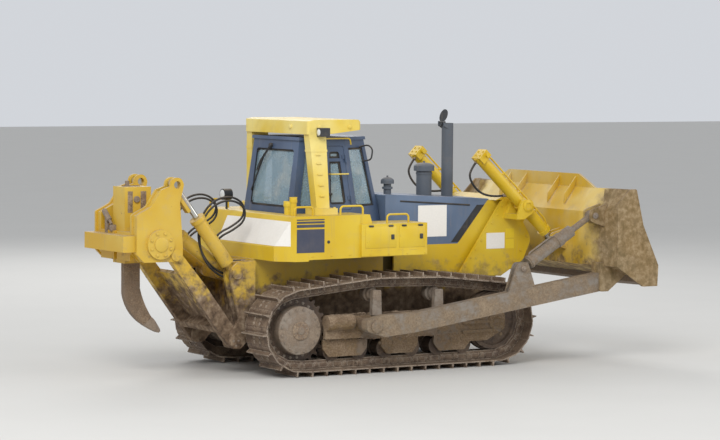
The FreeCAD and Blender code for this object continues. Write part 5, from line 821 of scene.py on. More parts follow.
class Undercarriage:
    """Bolts, chain links, shoe bolts and caked soil of the two tracks."""

    def build(self) -> None:
        """Makes the undercarriage's pieces."""
        pins = Belt().pins()
        for side, name in ((RIGHT, "right"), (LEFT, "left")):
            self.chain(side, name, pins)
            self.covers(side, name)
            self.soil(side, name)

    def chain(self, side: int, name: str, pins: Sequence[Vector]) -> None:
        """Pin bosses, link straps and shoe bolts all round one track."""
        links, bolts = Form(), Form()
        out = outward(side)
        for i, pin in enumerate(pins):
            after = pins[(i + 1) % len(pins)]
            along = (after - pin).normalized()
            away = Vector((along.z, 0.0, -along.x))
            spot = at(pin.x, side * Belt.link_face, pin.z)
            links.lathe(((0.05, -0.01), (0.05, 0.010), (0.043, 0.014), (0.03, 0.014), (0.03, 0.020), (0.024, 0.024), (0.0, 0.024)),
                        aim(spot, out), 16)
            middle = at((pin.x + after.x) / 2, side * Belt.link_face, (pin.z + after.z) / 2)
            face = Matrix((along, away * -1.0, out)).transposed().to_4x4()
            if face.determinant() < 0:
                face = Matrix((along, away, out)).transposed().to_4x4()
            links.slab((0.13, 0.075, 0.014), Matrix.Translation(middle + out * 0.002) @ face, 0.004)
            for share in (0.52, 0.82):
                for offset in (-0.079, 0.079):
                    foot = pin.lerp(after, share) + away * Belt.shoe_out
                    bolts.bolt(at(foot.x, side * (1.05 + offset), foot.z), away, 0.017, 11.0 * i)
        links.done(f"chain_links_{name}", "chassis", Coat.TRACK, "track_steel")
        bolts.done(f"shoe_bolts_{name}", "chassis", Coat.TRACK, "track_steel")

    def covers(self, side: int, name: str) -> None:
        """Bolt circles of the final drive, sprocket and roller ends, and the arm's trunnion cap."""
        out, form = outward(side), Form()
        axle = (0.0, 0.636)
        form.bolts(at(axle[0], side * 1.2785, axle[1]), out, 0.287, 16, 0.016)
        form.bolts(at(axle[0], side * 1.095, axle[1]), out, 0.385, 24, 0.016)
        form.bolts(at(axle[0], side * 1.3, axle[1]), out, 0.09, 8, 0.013)
        form.lathe(((0.055, 0.0), (0.055, 0.008), (0.04, 0.02), (0.0, 0.022)), aim(at(axle[0], side * 1.3, axle[1]), out))
        form.done(f"final_drive_bolts_{name}", "chassis", Coat.HUB, "yellow_paint")
        hub = Form()
        hub.lathe(((0.13, -0.002), (0.125, 0.005), (0.07, 0.007), (0.0, 0.009)), aim(at(axle[0], side * 1.3, axle[1]), out), 32)
        for i in range(9):
            wander = noise.noise_vector(Vector((i * 2.3, side * 4.0, 8.8)))
            turn, reach = 2.1 * i + wander.x, 0.12 + 0.16 * abs(wander.y)
            spot = at(axle[0] + reach * math.cos(turn), side * 1.278, axle[1] + reach * math.sin(turn))
            hub.clod(spot, 0.035 + 0.02 * abs(wander.z), 1.0, i * 0.7, 0.25)
        hub.done(f"hub_soil_{name}", "chassis", Coat.MUD, "track_steel")
        guard = Form()
        for x in (0.46, 0.86, 1.05, 1.30, 1.52, 1.72, 2.28, 2.48, 2.66):
            guard.bolt(at(x, side * 1.24, 0.405), out, 0.016, 40.0 * x)
            guard.bolt(at(x, side * 1.24, 0.52), out, 0.016, 30.0 * x)
        for z in (0.44, 0.56, 0.70):
            guard.bolt(at(3.33, side * 1.24, z), out, 0.018, 90.0 * z)
        guard.lathe(((0.13, 0.0), (0.13, 0.012), (0.112, 0.02), (0.07, 0.02), (0.06, 0.012), (0.0, 0.012)),
                    aim(at(3.25, side * 1.24, 0.63), out), 28)
        guard.bolts(at(3.25, side * 1.259, 0.63), out, 0.09, 6, 0.012)
        guard.done(f"frame_bolts_{name}", "chassis", Coat.CASE, "track_steel")
        cap = Form()
        cap.lathe(((0.086, -0.004), (0.086, 0.010), (0.07, 0.016), (0.0, 0.016)), aim(at(0.95, side * 1.737, 0.69), out), 28)
        cap.bolts(at(0.95, side * 1.753, 0.69), out, 0.052, 6, 0.010)
        cap.done(f"trunnion_cap_{name}", "chassis", Coat.ARM, "arm_paint")

    def soil(self, side: int, name: str) -> None:
        """Lumps of soil along the track frame's top and in the corners of its guards."""
        form = Form()
        rows = ((0.62, 2.60, 0.802, 1.02, 46, 0.045), (0.5, 2.72, 0.475, 1.235, 30, 0.028), (2.7, 3.3, 0.80, 1.1, 12, 0.04))
        for row, (first, last, up, out, count, size) in enumerate(rows):
            for i in range(count):
                wander = noise.noise_vector(Vector((i * 1.7, row * 9.1 + side, 3.3)))
                x = first + (last - first) * (i + 0.5 + wander.x) / count
                y = side * (out + wander.y * (0.14 if row != 1 else 0.01))
                form.clod(at(x, y, up), size * (1.0 + wander.z), 0.45, i * 1.37 + row)
        for i in range(34):
            wander = noise.noise_vector(Vector((i * 1.9, 31.0 + side, 6.1)))
            x = 2.30 + 1.25 * (i + 0.5 + wander.x) / 34
            form.clod(at(x, side * (0.80 + 0.16 * wander.y), 1.262 - 0.05 * (x - 2.3)), 0.035 * (1.0 + wander.z), 0.5, i * 0.9)
        form.done(f"caked_soil_{name}", "chassis", Coat.MUD, "track_steel")


class Bodywork:
    """Blank plates, stripes, seams, bolts and grab bars of the tank, boxes, hood and guard."""

    side_out: float = 1.3

    def build(self) -> None:
        """Makes the bodywork's pieces."""
        self.plates()
        self.hood()
        self.guard()
        self.deck()

    def plate(self, name: str, node: str, coat: Coat, slot: str, x: Tuple[float, float], z: Tuple[float, float],
              normal: Vector = OUT_RIGHT, thick: float = 0.003, slope: float = 0.92) -> None:
        """A thin plate on the faces of a solid that look one way, between two X and two Z."""
        form = Form()
        planes = (
            (at(x[0], 0.0, 0.0), Vector((-1.0, 0.0, 0.0))), (at(x[1], 0.0, 0.0), Vector((1.0, 0.0, 0.0))),
            (at(0.0, 0.0, z[0]), -UP), (at(0.0, 0.0, z[1]), UP))
        form.cling(node, lambda middle, facing: facing.dot(normal) > slope, planes, thick)
        form.done(name, "chassis", coat, slot)

    def plates(self) -> None:
        """The dark model plate with its stripes, and the pale plate on the tank's corner."""
        rows = (("dark_plate", 1.70, 2.02), ("stripe_low", 2.045, 2.085), ("stripe_middle", 2.10, 2.128),
                ("stripe_high", 2.143, 2.158))
        for name, low, high in rows:
            self.plate(f"{name}_tank", "fuel_tank", Coat.STRIPE, "dark_paint", (-0.072, 0.1195), (low, high))
            self.plate(f"{name}_fender", "fenders", Coat.STRIPE, "dark_paint", (0.1205, 0.363), (low, high))
        form = Form()
        planes = ((at(-0.135, 0.0, 0.0), Vector((1.0, 0.0, 0.0))), (at(0.0, 0.55, 0.0), OUT_LEFT), (at(0.0, 0.0, 1.79), -UP),
                  (at(0.0, 0.0, 2.135), UP))
        form.cling("fuel_tank", lambda middle, facing: facing.x < -0.45 and 0.75 > facing.z > -0.1, planes, 0.003)
        form.done("rear_plate", "chassis", Coat.PLATE, "cab_paint")

    def hood(self) -> None:
        """The hood's blank plate, air slots and dark nose band."""
        self.plate("hood_plate", "hood", Coat.PLATE, "cab_paint", (2.354, 2.84), (1.81, 2.26))
        slot = Form()
        for y, side in ((-0.55, RIGHT), (0.55, LEFT)):
            run = at(3.24, 0.0, 2.25) - at(2.05, 0.0, 2.33)
            lean = Matrix.Rotation(math.atan2(-run.z, run.x), 4, "Y")
            middle = at(2.645, y, 2.29)
            slot.slab((run.length, 0.018, 0.024), Matrix.Translation(middle) @ lean, 0.007)
        slot.done("hood_slots", "chassis", Coat.PLASTIC, "black_plastic")
        edge = Form()
        along = (at(3.56, 0.0, 2.335) - at(3.03, 0.0, 1.70)).normalized()
        behind = Vector((-along.z, 0.0, along.x))
        for side in (RIGHT, LEFT):
            planes = ((at(3.53, 0.0, 2.30), -behind), (at(3.53, 0.0, 2.30) + behind * 0.1, behind), (at(0.0, 0.0, 1.72), -UP),
                      (at(0.0, 0.0, 2.25), UP))
            edge.cling("hood", lambda middle, facing, out=outward(side): facing.dot(out) > 0.92, planes, 0.004)
        edge.done("hood_nose_band", "chassis", Coat.DARK, "dark_paint")

    def guard(self) -> None:
        """The radiator guard's patch, signs and seam bolts."""
        self.plate("guard_patch", "radiator_guard", Coat.PLATE, "cab_paint", (3.464, 3.78), (1.615, 1.844))
        self.plate("guard_sign_high", "radiator_guard", Coat.SIGN, "yellow_paint", (3.80, 3.945), (1.765, 1.90))
        self.plate("guard_sign_low", "radiator_guard", Coat.SIGN, "yellow_paint", (3.80, 3.945), (1.61, 1.745))
        form = Form()
        for side in (RIGHT, LEFT):
            for i in range(8):
                share = (i + 0.5) / 8
                form.bolt(at(3.06 + 0.72 * share, side * 0.65, 1.31 + 0.98 * share), outward(side), 0.014, 31.0 * i)
            for x, z in ((3.94, 1.42), (4.06, 1.58), (4.17, 1.78), (4.1, 2.02), (3.9, 2.30)):
                form.bolt(at(x, side * 0.65, z), outward(side), 0.018, 70.0 * x)
        form.done("guard_bolts", "chassis", Coat.BODY, "yellow_paint")

    def deck(self) -> None:
        """Lids, hinges and latches of the tool boxes, and caps on necks and stacks."""
        form, locks = Form(), Form()
        for side in (RIGHT, LEFT):
            out = outward(side)
            face = 1.334 * side
            turn = Matrix.Rotation(math.radians(-90.0 * side), 4, "X")
            for x, wide in ((1.25, 0.50), (1.76, 0.42)):
                form.slab((wide, 0.30, 0.012), Matrix.Translation(at(x, face, 1.885)) @ turn, 0.004)
                locks.slab((0.05, 0.07, 0.02), Matrix.Translation(at(x + wide / 2 - 0.06, face + 0.006 * side, 1.885)) @ turn, 0.005)
                for end in (-1, 1):
                    bar = Matrix.Translation(at(x + end * wide * 0.32, face + 0.006 * side, 2.04)) @ Matrix.Rotation(math.pi / 2, 4, "Y")
                    locks.lathe(((0.0, -0.035), (0.012, -0.035), (0.014, -0.03), (0.014, 0.03), (0.012, 0.035), (0.0, 0.035)), bar, 12)
            locks.lathe(((0.022, 0.0), (0.022, 0.004), (0.014, 0.006), (0.0, 0.006)), aim(at(0.43, 1.3 * side, 1.84), out), 20)
            for i in range(7):
                form.bolt(at(0.18 + i * 0.30, side * 1.3405 if i > 2 else side * 1.3, 1.65), out, 0.011, 20.0 * i)
        form.done("box_lids", "chassis", Coat.BODY, "yellow_paint")
        locks.done("box_latches", "chassis", Coat.DARK, "dark_paint")
        caps = Form()
        for x, y, z, radius in ((0.06, -0.82, 2.33, 0.062), (-0.01, -1.09, 2.40, 0.054)):
            caps.lathe(((radius, -0.02), (radius, 0.025), (radius * 0.8, 0.04), (0.0, 0.044)), aim(at(x, y, z), UP), 20)
            caps.slab((radius * 2.2, 0.016, 0.02), Matrix.Translation(at(x, y, z + 0.045)), 0.004)
        caps.done("filler_caps", "chassis", Coat.BODY, "yellow_paint")
        domes = Form()
        for x, y, z, radius in ((2.8, 0.0, 2.80, 0.15), (1.99, -0.3, 2.615, 0.095)):
            domes.lathe(((radius, -0.002), (radius * 0.93, 0.016), (radius * 0.6, 0.04), (0.0, 0.052)), aim(at(x, y, z), UP), 32)
            domes.lathe(((0.014, 0.03), (0.014, 0.07), (0.0, 0.074)), aim(at(x, y, z), UP), 12)
            domes.lathe(((radius * 0.76, -0.12), (radius * 0.79, -0.12), (radius * 0.79, -0.09), (radius * 0.76, -0.09)),
                        aim(at(x, y, z), UP), 32)
        domes.done("intake_domes", "chassis", Coat.STACK, "dark_paint")


class Cabin:
    """Seals, wipers, grab bars, lamps, seat cushions and levers."""

    def build(self) -> None:
        """Makes the cab's pieces."""
        self.seals()
        self.outside()
        self.inside()
        self.roof()

    def seals(self) -> None:
        """Rubber round every pane, inside and out."""
        for node, body in (("cab_glass", "chassis"), ("door_glass_right", "door_right"), ("door_glass_left", "door_left")):
            middle = sum((Vector(corner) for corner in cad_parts[node].bound_box), Vector()) / 8
            form = Form()
            centre = at(0.85, 0.0, 2.6)
            for sign in (1, -1):
                def broad(spot: Vector, facing: Vector, sign: int = sign) -> bool:
                    """Whether a face is a pane's broad side."""
                    level = Vector((spot.x - centre.x, spot.y - centre.y, 0.0)).normalized()
                    return abs(facing.z) < 0.5 and facing.dot(level) * sign > 0.55
                form.cling(node, broad, (), 0.009, 0.028)
            form.done(f"{node}_seals", body, Coat.RUBBER, "black_plastic")

    def rear_x(self, z: float) -> float:
        """The cab's rear face at a height."""
        return 0.18 + 0.16 * (z - 2.04) / 1.17

    def outside(self) -> None:
        """Wipers, mirror, handles and the yellow bars of the door."""
        wiper = Form()
        for shift in (0.0, 0.035):
            top, knee = at(self.rear_x(3.12) - 0.02, 0.10 + shift, 3.12), at(self.rear_x(2.9) - 0.035, 0.30 + shift, 2.90)
            wiper.tube((top, knee, at(self.rear_x(2.76) - 0.02, 0.39 + shift, 2.76)), 0.008, 0.03, 8)
        wiper.tube((at(self.rear_x(3.0) - 0.012, 0.27, 3.0), at(self.rear_x(2.48) - 0.012, 0.52, 2.48)), 0.012, 0.0, 8)
        wiper.lathe(((0.035, -0.01), (0.035, 0.03), (0.025, 0.04), (0.0, 0.042)),
                    aim(at(self.rear_x(3.12), 0.115, 3.12), Vector((-1.0, 0.0, 0.13)).normalized()), 20)
        wiper.done("rear_wiper", "chassis", Coat.PLASTIC, "black_plastic")
        mirror = Form()
        for side in (RIGHT, LEFT):
            foot = at(1.40, 0.47 * side, 3.10)
            mirror.tube((foot, at(1.48, 0.60 * side, 3.14), at(1.52, 0.66 * side, 3.08), at(1.51, 0.64 * side, 2.93),
                         at(1.44, 0.50 * side, 2.90)), 0.011, 0.05, 8)
        mirror.done("mirror_brackets", "chassis", Coat.PLASTIC, "black_plastic")
        for side, name in ((RIGHT, "right"), (LEFT, "left")):
            bar = Form()
            y = side * 0.735
            bar.tube((at(0.80, side * 0.675, 2.74), at(0.80, y, 2.74), at(1.09, y, 2.74), at(1.09, side * 0.675, 2.74)), 0.010, 0.03, 10)
            bar.done(f"door_bar_{name}", f"door_{name}", Coat.UPPER, "yellow_paint")
            handle = Form()
            handle.slab((0.09, 0.03, 0.035), Matrix.Translation(at(0.80, side * 0.69, 2.46)), 0.009)
            handle.lathe(((0.02, -0.01), (0.02, 0.03), (0.016, 0.034), (0.0, 0.034)), aim(at(0.775, side * 0.69, 2.40), outward(side)), 16)
            handle.done(f"door_handle_{name}", f"door_{name}", Coat.PLASTIC, "black_plastic")
        rail = Form()
        for side in (RIGHT, LEFT):
            y = side * 0.70
            rail.tube((at(0.62, side * 0.64, 3.235), at(0.62, y, 3.235), at(1.12, y, 3.235), at(1.16, side * 0.66, 3.15)), 0.011, 0.04, 10)
        rail.done("cab_grab_rails", "chassis", Coat.UPPER, "yellow_paint")

    def inside(self) -> None:
        """Seat cushions, head rest, levers and the screen on the dashboard."""
        rows = (("seat_cushion", (0.49, 0.50, 0.12), (0.79, 0.0, 2.575), 0.0),
                ("seat_back_cushion", (0.11, 0.48, 0.52), (0.62, 0.0, 2.88), -5.0),
                ("seat_head_rest", (0.08, 0.28, 0.17), (0.53, 0.0, 3.07), -5.0))
        for name, size, place, lean in rows:
            form = Form()
            matrix = Matrix.Translation(at(*place)) @ Matrix.Rotation(math.radians(lean), 4, "Y")
            form.pad(size, matrix)
            cushion = form.done(name, "chassis", Coat.VINYL, "seat_vinyl", 60.0)
        levers = Form()
        for x, y, tall in ((1.02, -0.40, 0.20), (0.88, -0.42, 0.16), (1.02, 0.40, 0.22), (1.30, -0.15, 0.30), (1.30, 0.15, 0.30)):
            foot = at(x, y, 2.655 if x < 1.2 else 2.30)
            top = foot + Vector((0.03, 0.0, tall))
            levers.tube((foot, top), 0.009, 0.0, 8)
            levers.lathe(((0.0, -0.03), (0.02, -0.025), (0.026, 0.01), (0.018, 0.045), (0.0, 0.052)), aim(top, UP), 14)
        levers.slab((0.05, 0.30, 0.18), Matrix.Translation(at(1.44, 0.0, 2.80)) @ Matrix.Rotation(math.radians(-20), 4, "Y"), 0.012)
        levers.done("cab_levers", "chassis", Coat.PLASTIC, "black_plastic")

    def roof(self) -> None:
        """Bolts of the roll-over frame, caps on its roof slab and the lamps' lenses."""
        form = Form()
        for side in (RIGHT, LEFT):
            for x in (0.384, 0.68):
                for y in (0.832, 1.035):
                    form.bolt(at(x, y * side, 2.285), UP, 0.0185, 50.0 * x)
            for x, y in ((0.52, 0.881), (1.02, 0.859)):
                form.lathe(((0.030, -0.02), (0.030, 0.008), (0.02, 0.014), (0.0, 0.014)), aim(at(x, y * side, 3.40), outward(side)), 20)
            for z in (2.45, 2.60, 2.75, 2.90, 3.02):
                out = 1.01 - 0.1126 * (z - 2.2)
                form.slab((0.075, 0.03, 0.018), Matrix.Translation(at(0.52 - 0.055 * (z - 2.2), side * (out + 0.004), z)), 0.005)
        form.lathe(((0.030, -0.02), (0.030, 0.008), (0.02, 0.014), (0.0, 0.014)),
                   aim(at(0.318, -0.42, 3.40), Vector((-1.0, 0.0, 0.0))), 20)
        planes = ((at(0.0, 0.0, 3.06), -UP), (at(0.0, 0.0, 3.09), UP))
        form.cling("rollover_frame", lambda middle, facing: abs(facing.z) < 0.5, planes, 0.008)
        form.done("rollover_bolts", "chassis", Coat.UPPER, "yellow_paint")
        lenses = Form()
        rear = Vector((-1.0, 0.0, 0.0))
        rows = ((0.472, -0.945, 3.33, 0.046), (0.472, 0.945, 3.33, 0.046), (-0.11, 0.76, 2.41, 0.066))
        for x, y, z, radius in rows:
            lenses.lathe(((radius, -0.004), (radius, 0.004), (radius * 0.7, 0.012), (0.0, 0.016)), aim(at(x, y, z), rear), 28)
        lenses.done("lamp_lenses", "chassis", Coat.LENS, "window_glass")


@dataclass(frozen=True)
class Hose:
    """A free hydraulic hose with its fittings."""

    name: str
    body: str
    points: Tuple[Vector, ...]
    thick: float = 0.034

    def build(self) -> None:
        data = bpy.data.curves.new(self.name, "CURVE")
        data.dimensions = "3D"
        data.bevel_depth, data.bevel_resolution, data.resolution_u = self.thick / 2, 3, 16
        data.use_fill_caps = True
        spline = data.splines.new("NURBS")
        spline.points.add(len(self.points) - 1)
        for control, place in zip(spline.points, self.points):
            control.co = (*place, 1.0)
        spline.order_u = 3
        spline.use_endpoint_u = True
        data.materials.append(Coat.RUBBER.value.material())
        hose = bpy.data.objects.new(self.name, data)
        bpy.context.scene.collection.objects.link(hose)
        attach(hose, self.body)
        length = self.length(data)
        LOG.info("hose %s is %.3f m long", self.name, length)
        ends = Form()
        for end, inner in ((self.points[0], self.points[1]), (self.points[-1], self.points[-2])):
            collar = self.thick * 0.72
            rows = ((collar * 0.8, -0.03), (collar, -0.028), (collar, 0.035), (collar * 0.86, 0.042), (self.thick / 2, 0.042))
            ends.lathe(rows, aim(end, (inner - end).normalized()), 16)
        ends.done(f"{self.name}_fittings", self.body, Coat.BARE, "worn_steel")

    def length(self, data: bpy.types.Curve) -> float:
        """The length of the hose's middle line."""
        bare = data.copy()
        bare.bevel_depth = 0.0
        probe = bpy.data.objects.new("probe", bare)
        mesh = probe.to_mesh()
        total = sum((mesh.vertices[e.vertices[0]].co - mesh.vertices[e.vertices[1]].co).length for e in mesh.edges)
        probe.to_mesh_clear()
        bpy.data.objects.remove(probe)
        bpy.data.curves.remove(bare)
        return total


class Hydraulics:
    """Hoses and pipes of the lift cylinders and the ripper."""

    def build(self) -> None:
        """Makes all hoses and pipes."""
        for side, name in ((RIGHT, "right"), (LEFT, "left")):
            self.lift(side, name)
        for i, y in enumerate((-0.424, -0.392, 0.392, 0.424)):
            high = 0.05 * (i % 2)
            rise = ((-0.402, 1.50), (-0.50, 1.50), (-0.68, 1.50), (-0.86, 1.58), (-0.90, 1.76), (-0.78, 1.90), (-0.58, 1.98))
            crest = ((-0.40, 2.10), (-0.39, 2.28), (-0.56, 2.39), (-0.78, 2.38), (-0.97, 2.26), (-1.09, 2.05))
            fall = ((-1.11, 1.80), (-1.02, 1.56), (-0.84, 1.38), (-0.60, 1.30), (-0.402, 1.30))
            points = tuple(at(x, y, z + high) for x, z in rise + crest + fall)
            Hose(f"ripper_hose_{i + 1}", "chassis", points, 0.030).build()

    def lift(self, side: int, name: str) -> None:
        """The hose loop and the pipe on one lift cylinder."""
        pivot, eye = at(3.95, 0.85 * side, 2.24), at(4.47, 0.85 * side, 1.75)
        run = (eye - pivot).normalized()
        below = Vector((run.z, 0.0, -run.x))
        if below.z > 0:
            below = -below
        tail = pivot - run * 1.062
        inner = outward(-side)
        start = tail + run * 0.05 + below * 0.055 + inner * 0.03
        points = (start, start + below * 0.12, start + below * 0.27 + run * 0.06, start + below * 0.31 + run * 0.34,
                  start + below * 0.17 + run * 0.58, start + below * 0.03 + run * 0.70)
        Hose(f"lift_hose_{name}", f"lift_barrel_{name}", points, 0.032).build()
        pipe = Form()
        above = -below
        path = (tail + run * 0.12 + above * 0.08, tail + run * 0.16 + above * 0.125, pivot + run * 0.42 + above * 0.125,
                pivot + run * 0.50 + above * 0.085)
        pipe.tube(path, 0.014, 0.04, 10)
        for share in (0.25, 0.55, 0.85):
            spot = (tail + run * 0.16).lerp(pivot + run * 0.42, share)
            pipe.slab((0.03, 0.05, 0.05), Matrix.Translation(spot + above * 0.11) @ run.to_track_quat("X", "Z").to_matrix().to_4x4(), 0.006)
        for offset in (-0.055, 0.055):
            for lift in (0.0, 0.07):
                pipe.bolt(tail - run * 0.012 + Vector((0.0, offset, 0.0)) + above * lift, -run, 0.013)
        pipe.done(f"lift_pipe_{name}", f"lift_barrel_{name}", Coat.BODY, "yellow_paint")


class Tools:
    """Bolts, plates and wear details of the blade and the ripper."""

    def build(self) -> None:
        """Makes the fittings of both tools."""
        self.blade()
        self.ripper()

    def blade(self) -> None:
        """Bolts along the cutting edge and brackets' pins."""
        form = Form()
        low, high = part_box("lift_yokes")
        for side in (RIGHT, LEFT):
            edge = high[1] if side == LEFT else -low[1]
            caps = Form()
            middle = at(3.95, side * edge, 2.24)
            caps.lathe(((0.085, -0.01), (0.085, 0.010), (0.07, 0.018), (0.045, 0.018), (0.04, 0.010), (0.0, 0.010)), aim(middle, outward(side)), 28)
            caps.bolts(middle + outward(side) * 0.016, outward(side), 0.058, 6, 0.010)
            caps.done(f"yoke_cap_{'left' if side == LEFT else 'right'}", "chassis", Coat.BODY, "yellow_paint")
        front = Vector((1.0, 0.0, -0.05)).normalized()
        for i in range(16):
            form.bolt(at(5.372, -1.17 + i * 0.156, 1.20), front, 0.02, 23.0 * i)
        for side in (RIGHT, LEFT):
            for i in range(4):
                y = 1.33 + i * 0.17
                form.bolt(at(5.372 + (y - 1.25) * 0.193, y * side, 1.20), front, 0.02, 23.0 * i)
        form.done("edge_bolts", "blade_group", Coat.BARE, "worn_steel")
        pins = Form()
        for side in (RIGHT, LEFT):
            for x, y, z, radius, wide in ((4.6, 1.65, 2.125, 0.045, 0.2), (4.47, 0.85, 1.75, 0.04, 0.21), (3.38, 1.65, 1.40, 0.04, 0.14)):
                for end in (-1, 1):
                    spot = at(x, y * side + end * wide / 2, z)
                    direction = Vector((0.0, float(end), 0.0))
                    pins.lathe(((radius, -0.05), (radius, 0.016), (radius * 0.8, 0.024), (0.0, 0.024)), aim(spot, direction), 20)
                    pins.bolt(spot + direction * 0.024, direction, radius * 0.4)
        pins.done("blade_pins", "blade_group", Coat.BARE, "worn_steel")
        fins = Form()
        for side in (RIGHT, LEFT):
            for y in (0.84, 0.42):
                fins.web(((4.69, 2.25), (4.885, 2.49), (4.915, 2.67), (4.70, 2.40)), y * side, 0.02)
            fins.web(((4.83, 2.28), (5.03, 2.485), (4.86, 2.50)), 1.62 * side, 0.02)
        fins.done("blade_fins", "blade_group", Coat.BLADE, "yellow_paint")
        rings = Form()
        foot, eye = at(3.38, -1.65, 1.40), at(4.60, -1.65, 2.125)
        run = (eye - foot).normalized()
        for start, stop in ((0.16, 0.20), (0.70, 0.80)):
            rings.lathe(((0.080, start), (0.099, start + 0.004), (0.099, stop - 0.004), (0.080, stop)), aim(foot, run), 32)
        above = Vector((-run.z, 0.0, run.x))
        rings.tube((foot + run * 0.20 + above * 0.07, foot + run * 0.23 + above * 0.112, foot + run * 0.67 + above * 0.112,
                    foot + run * 0.72 + above * 0.07), 0.013, 0.03, 10)
        rings.done("tilt_cylinder_rings", "blade_group", Coat.ARM, "arm_paint")

    def ripper(self) -> None:
        """Bolts round the covers, the pocket's pins and the point's pin."""
        form = Form()
        for side in (RIGHT, LEFT):
            out = outward(side)
            middle = at(-1.825, 0.6935 * side, 1.83)
            form.lathe(((0.10, 0.0), (0.10, 0.012), (0.08, 0.02), (0.0, 0.02)), aim(middle, out), 32)
            form.bolts(middle, out, 0.155, 8, 0.02)
        form.done("cover_bolts", "ripper_tool", Coat.RIPPER, "yellow_paint")
        bare = Form()
        for side in (RIGHT, LEFT):
            for z in (2.12, 2.42):
                bare.lathe(((0.045, -0.01), (0.045, 0.02), (0.035, 0.028), (0.0, 0.028)), aim(at(-1.94, 0.175 * side, z), outward(side)), 20)
            bare.lathe(((0.02, -0.01), (0.02, 0.006), (0.0, 0.008)), aim(at(-1.655, 0.062 * side, 0.705), outward(side)), 16)
        bare.lathe(((0.055, -0.02), (0.055, 0.0), (0.03, 0.012), (0.03, 0.07), (0.0, 0.075)), aim(at(-1.94, 0.11, 2.59), UP), 20)
        bare.done("shank_pins", "ripper_tool", Coat.BARE, "worn_steel")
        # Thin dark sheets in the mud finish on the pocket's sides: painted shade that stands in for its slot recesses,
        # which are not cut.
        slots = Form()
        for side in (RIGHT, LEFT):
            for x, wide in ((-2.035, 0.075), (-1.835, 0.085)):
                slots.slab((wide, 0.006, 0.29), Matrix.Translation(at(x, 0.176 * side, 2.385)), 0.0025)
        slots.done("pocket_slot_shade", "ripper_tool", Coat.MUD, "dark_paint")
        puller = Form()
        high, low = at(-2.165, 0.36, 2.25), at(-2.165, 0.10, 2.05)
        run = (low - high).normalized()
        puller.lathe(((0.0, 0.0), (0.033, 0.0), (0.038, 0.008), (0.038, 0.20), (0.034, 0.208), (0.02, 0.208), (0.02, 0.29), (0.0, 0.29)),
                     aim(high, run), 24)
        puller.slab((0.04, 0.07, 0.28), Matrix.Translation(at(-2.165, 0.27, 2.05)), 0.008)
        puller.slab((0.09, 0.07, 0.09), Matrix.Translation(at(-2.15, 0.115, 2.02)), 0.012)
        puller.bolts(high, -run, 0.022, 4, 0.007)
        puller.done("pin_puller", "ripper_tool", Coat.BARE, "worn_steel")
        guards = Form()
        top, foot = at(-1.56, 0.0, 2.63), at(-0.64, 0.0, 1.40)
        down = (foot - top).normalized()
        below = Vector((down.z, 0.0, -down.x))
        for side in (RIGHT, LEFT):
            middle = at(-1.56, 0.545 * side, 2.63) + down * 0.25 + below * 0.075
            face = Matrix((down, Vector((0.0, 1.0, 0.0)), down.cross(Vector((0.0, 1.0, 0.0))))).transposed().to_4x4()
            guards.slab((0.36, 0.10, 0.012), Matrix.Translation(middle) @ face, 0.004)
            for edge in (-0.05, 0.05):
                guards.slab((0.36, 0.010, 0.05), Matrix.Translation(middle + Vector((0.0, edge, 0.0)) - below * 0.02) @ face, 0.004)
            guards.slab((0.05, 0.08, 0.06), Matrix.Translation(middle - down * 0.155 - below * 0.03) @ face, 0.006)
        guards.done("rod_guards", "ripper_tilt_rods", Coat.RIPPER, "yellow_paint")
        heads = Form()
        for side in (RIGHT, LEFT):
            heads.bolts(at(-0.66, 0.6705 * side, 0.45), outward(side), 0.045, 3, 0.012)
            heads.bolts(at(-0.64, 0.3935 * side, 1.40), outward(side), 0.045, 3, 0.012)
        heads.done("front_pin_bolts", "chassis", Coat.BARE, "worn_steel")


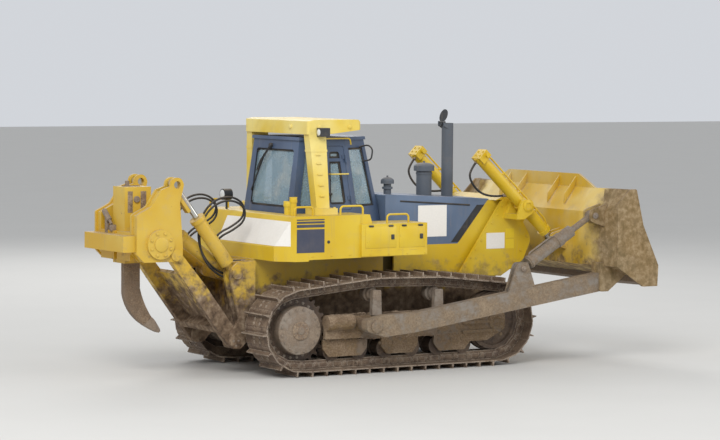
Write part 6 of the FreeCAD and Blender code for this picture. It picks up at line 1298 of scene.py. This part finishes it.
class Studio:
    """The floor, the lamps, the world and the camera at the photograph's angle."""

    azimuth_deg: float = -31.28
    elevation_deg: float = 3.36
    roll_deg: float = -0.40
    distance: float = 40.0
    lens_mm: float = 139.65

    def build(self) -> None:
        """Makes the whole studio."""
        self.floor()
        self.world()
        self.lamp("key", (-14.0, -16.0, 17.0), 11.0, 3600.0)
        self.lamp("fill", (15.0, -12.0, 9.0), 12.0, 900.0)
        self.lamp("rim", (6.0, 18.0, 14.0), 10.0, 1400.0)
        self.camera()

    def floor(self) -> None:
        """A pale floor that goes out of sight."""
        form = bmesh.new()
        bmesh.ops.create_grid(form, x_segments=1, y_segments=1, size=120.0)
        mesh = bpy.data.meshes.new("floor")
        form.to_mesh(mesh)
        form.free()
        floor = bpy.data.objects.new("floor", mesh)
        bpy.context.scene.collection.objects.link(floor)
        g = Graph("floor")
        tone = g.mix(g.noise(0.6, 3.0) * 0.5, colour("#C9C7C2"), colour("#D2D0CB"))
        mesh.materials.append(g.finish(Base_Color=tone, Roughness=0.9))

    def world(self) -> None:
        """Even light from all round, which metal and glass also mirror."""
        world = bpy.data.worlds.new("studio")
        bpy.context.scene.world = world
        world.use_nodes = True
        background = world.node_tree.nodes["Background"]
        background.inputs["Color"].default_value = (0.86, 0.89, 0.94, 1.0)
        background.inputs["Strength"].default_value = 0.75

    def lamp(self, name: str, place: Point, size: float, power: float) -> None:
        """A square area lamp aimed at the machine's middle."""
        data = bpy.data.lights.new(name, "AREA")
        data.size, data.energy = size, power
        lamp = bpy.data.objects.new(name, data)
        lamp.location = place
        lamp.rotation_euler = (Vector((0.0, 0.0, 1.2)) - Vector(place)).to_track_quat("-Z", "Y").to_euler()
        bpy.context.scene.collection.objects.link(lamp)

    def camera(self) -> None:
        """The camera of the photograph."""
        azimuth, elevation = math.radians(self.azimuth_deg), math.radians(self.elevation_deg)
        back = Vector((math.sin(azimuth) * math.cos(elevation), -math.cos(azimuth) * math.cos(elevation), math.sin(elevation)))
        data = bpy.data.cameras.new("camera")
        data.sensor_width, data.lens, data.clip_end = 36.0, self.lens_mm, 400.0
        camera = bpy.data.objects.new("camera", data)
        turned = (-back).to_track_quat("-Z", "Y") @ Matrix.Rotation(math.radians(-self.roll_deg), 3, "Z").to_quaternion()
        camera.rotation_euler = turned.to_euler()
        camera.location = at(1.72, 0.0, 2.04) + back * self.distance
        bpy.context.scene.collection.objects.link(camera)
        bpy.context.scene.camera = camera


def main() -> None:
    """Builds the classes in order."""
    logging.basicConfig(level=logging.INFO, format="%(message)s")
    bpy.context.scene.view_settings.view_transform = "Standard"
    dress_nodes()
    for maker in (Undercarriage(), Bodywork(), Cabin(), Hydraulics(), Tools(), Studio()):
        maker.build()


if __name__ == "__main__":
    main()
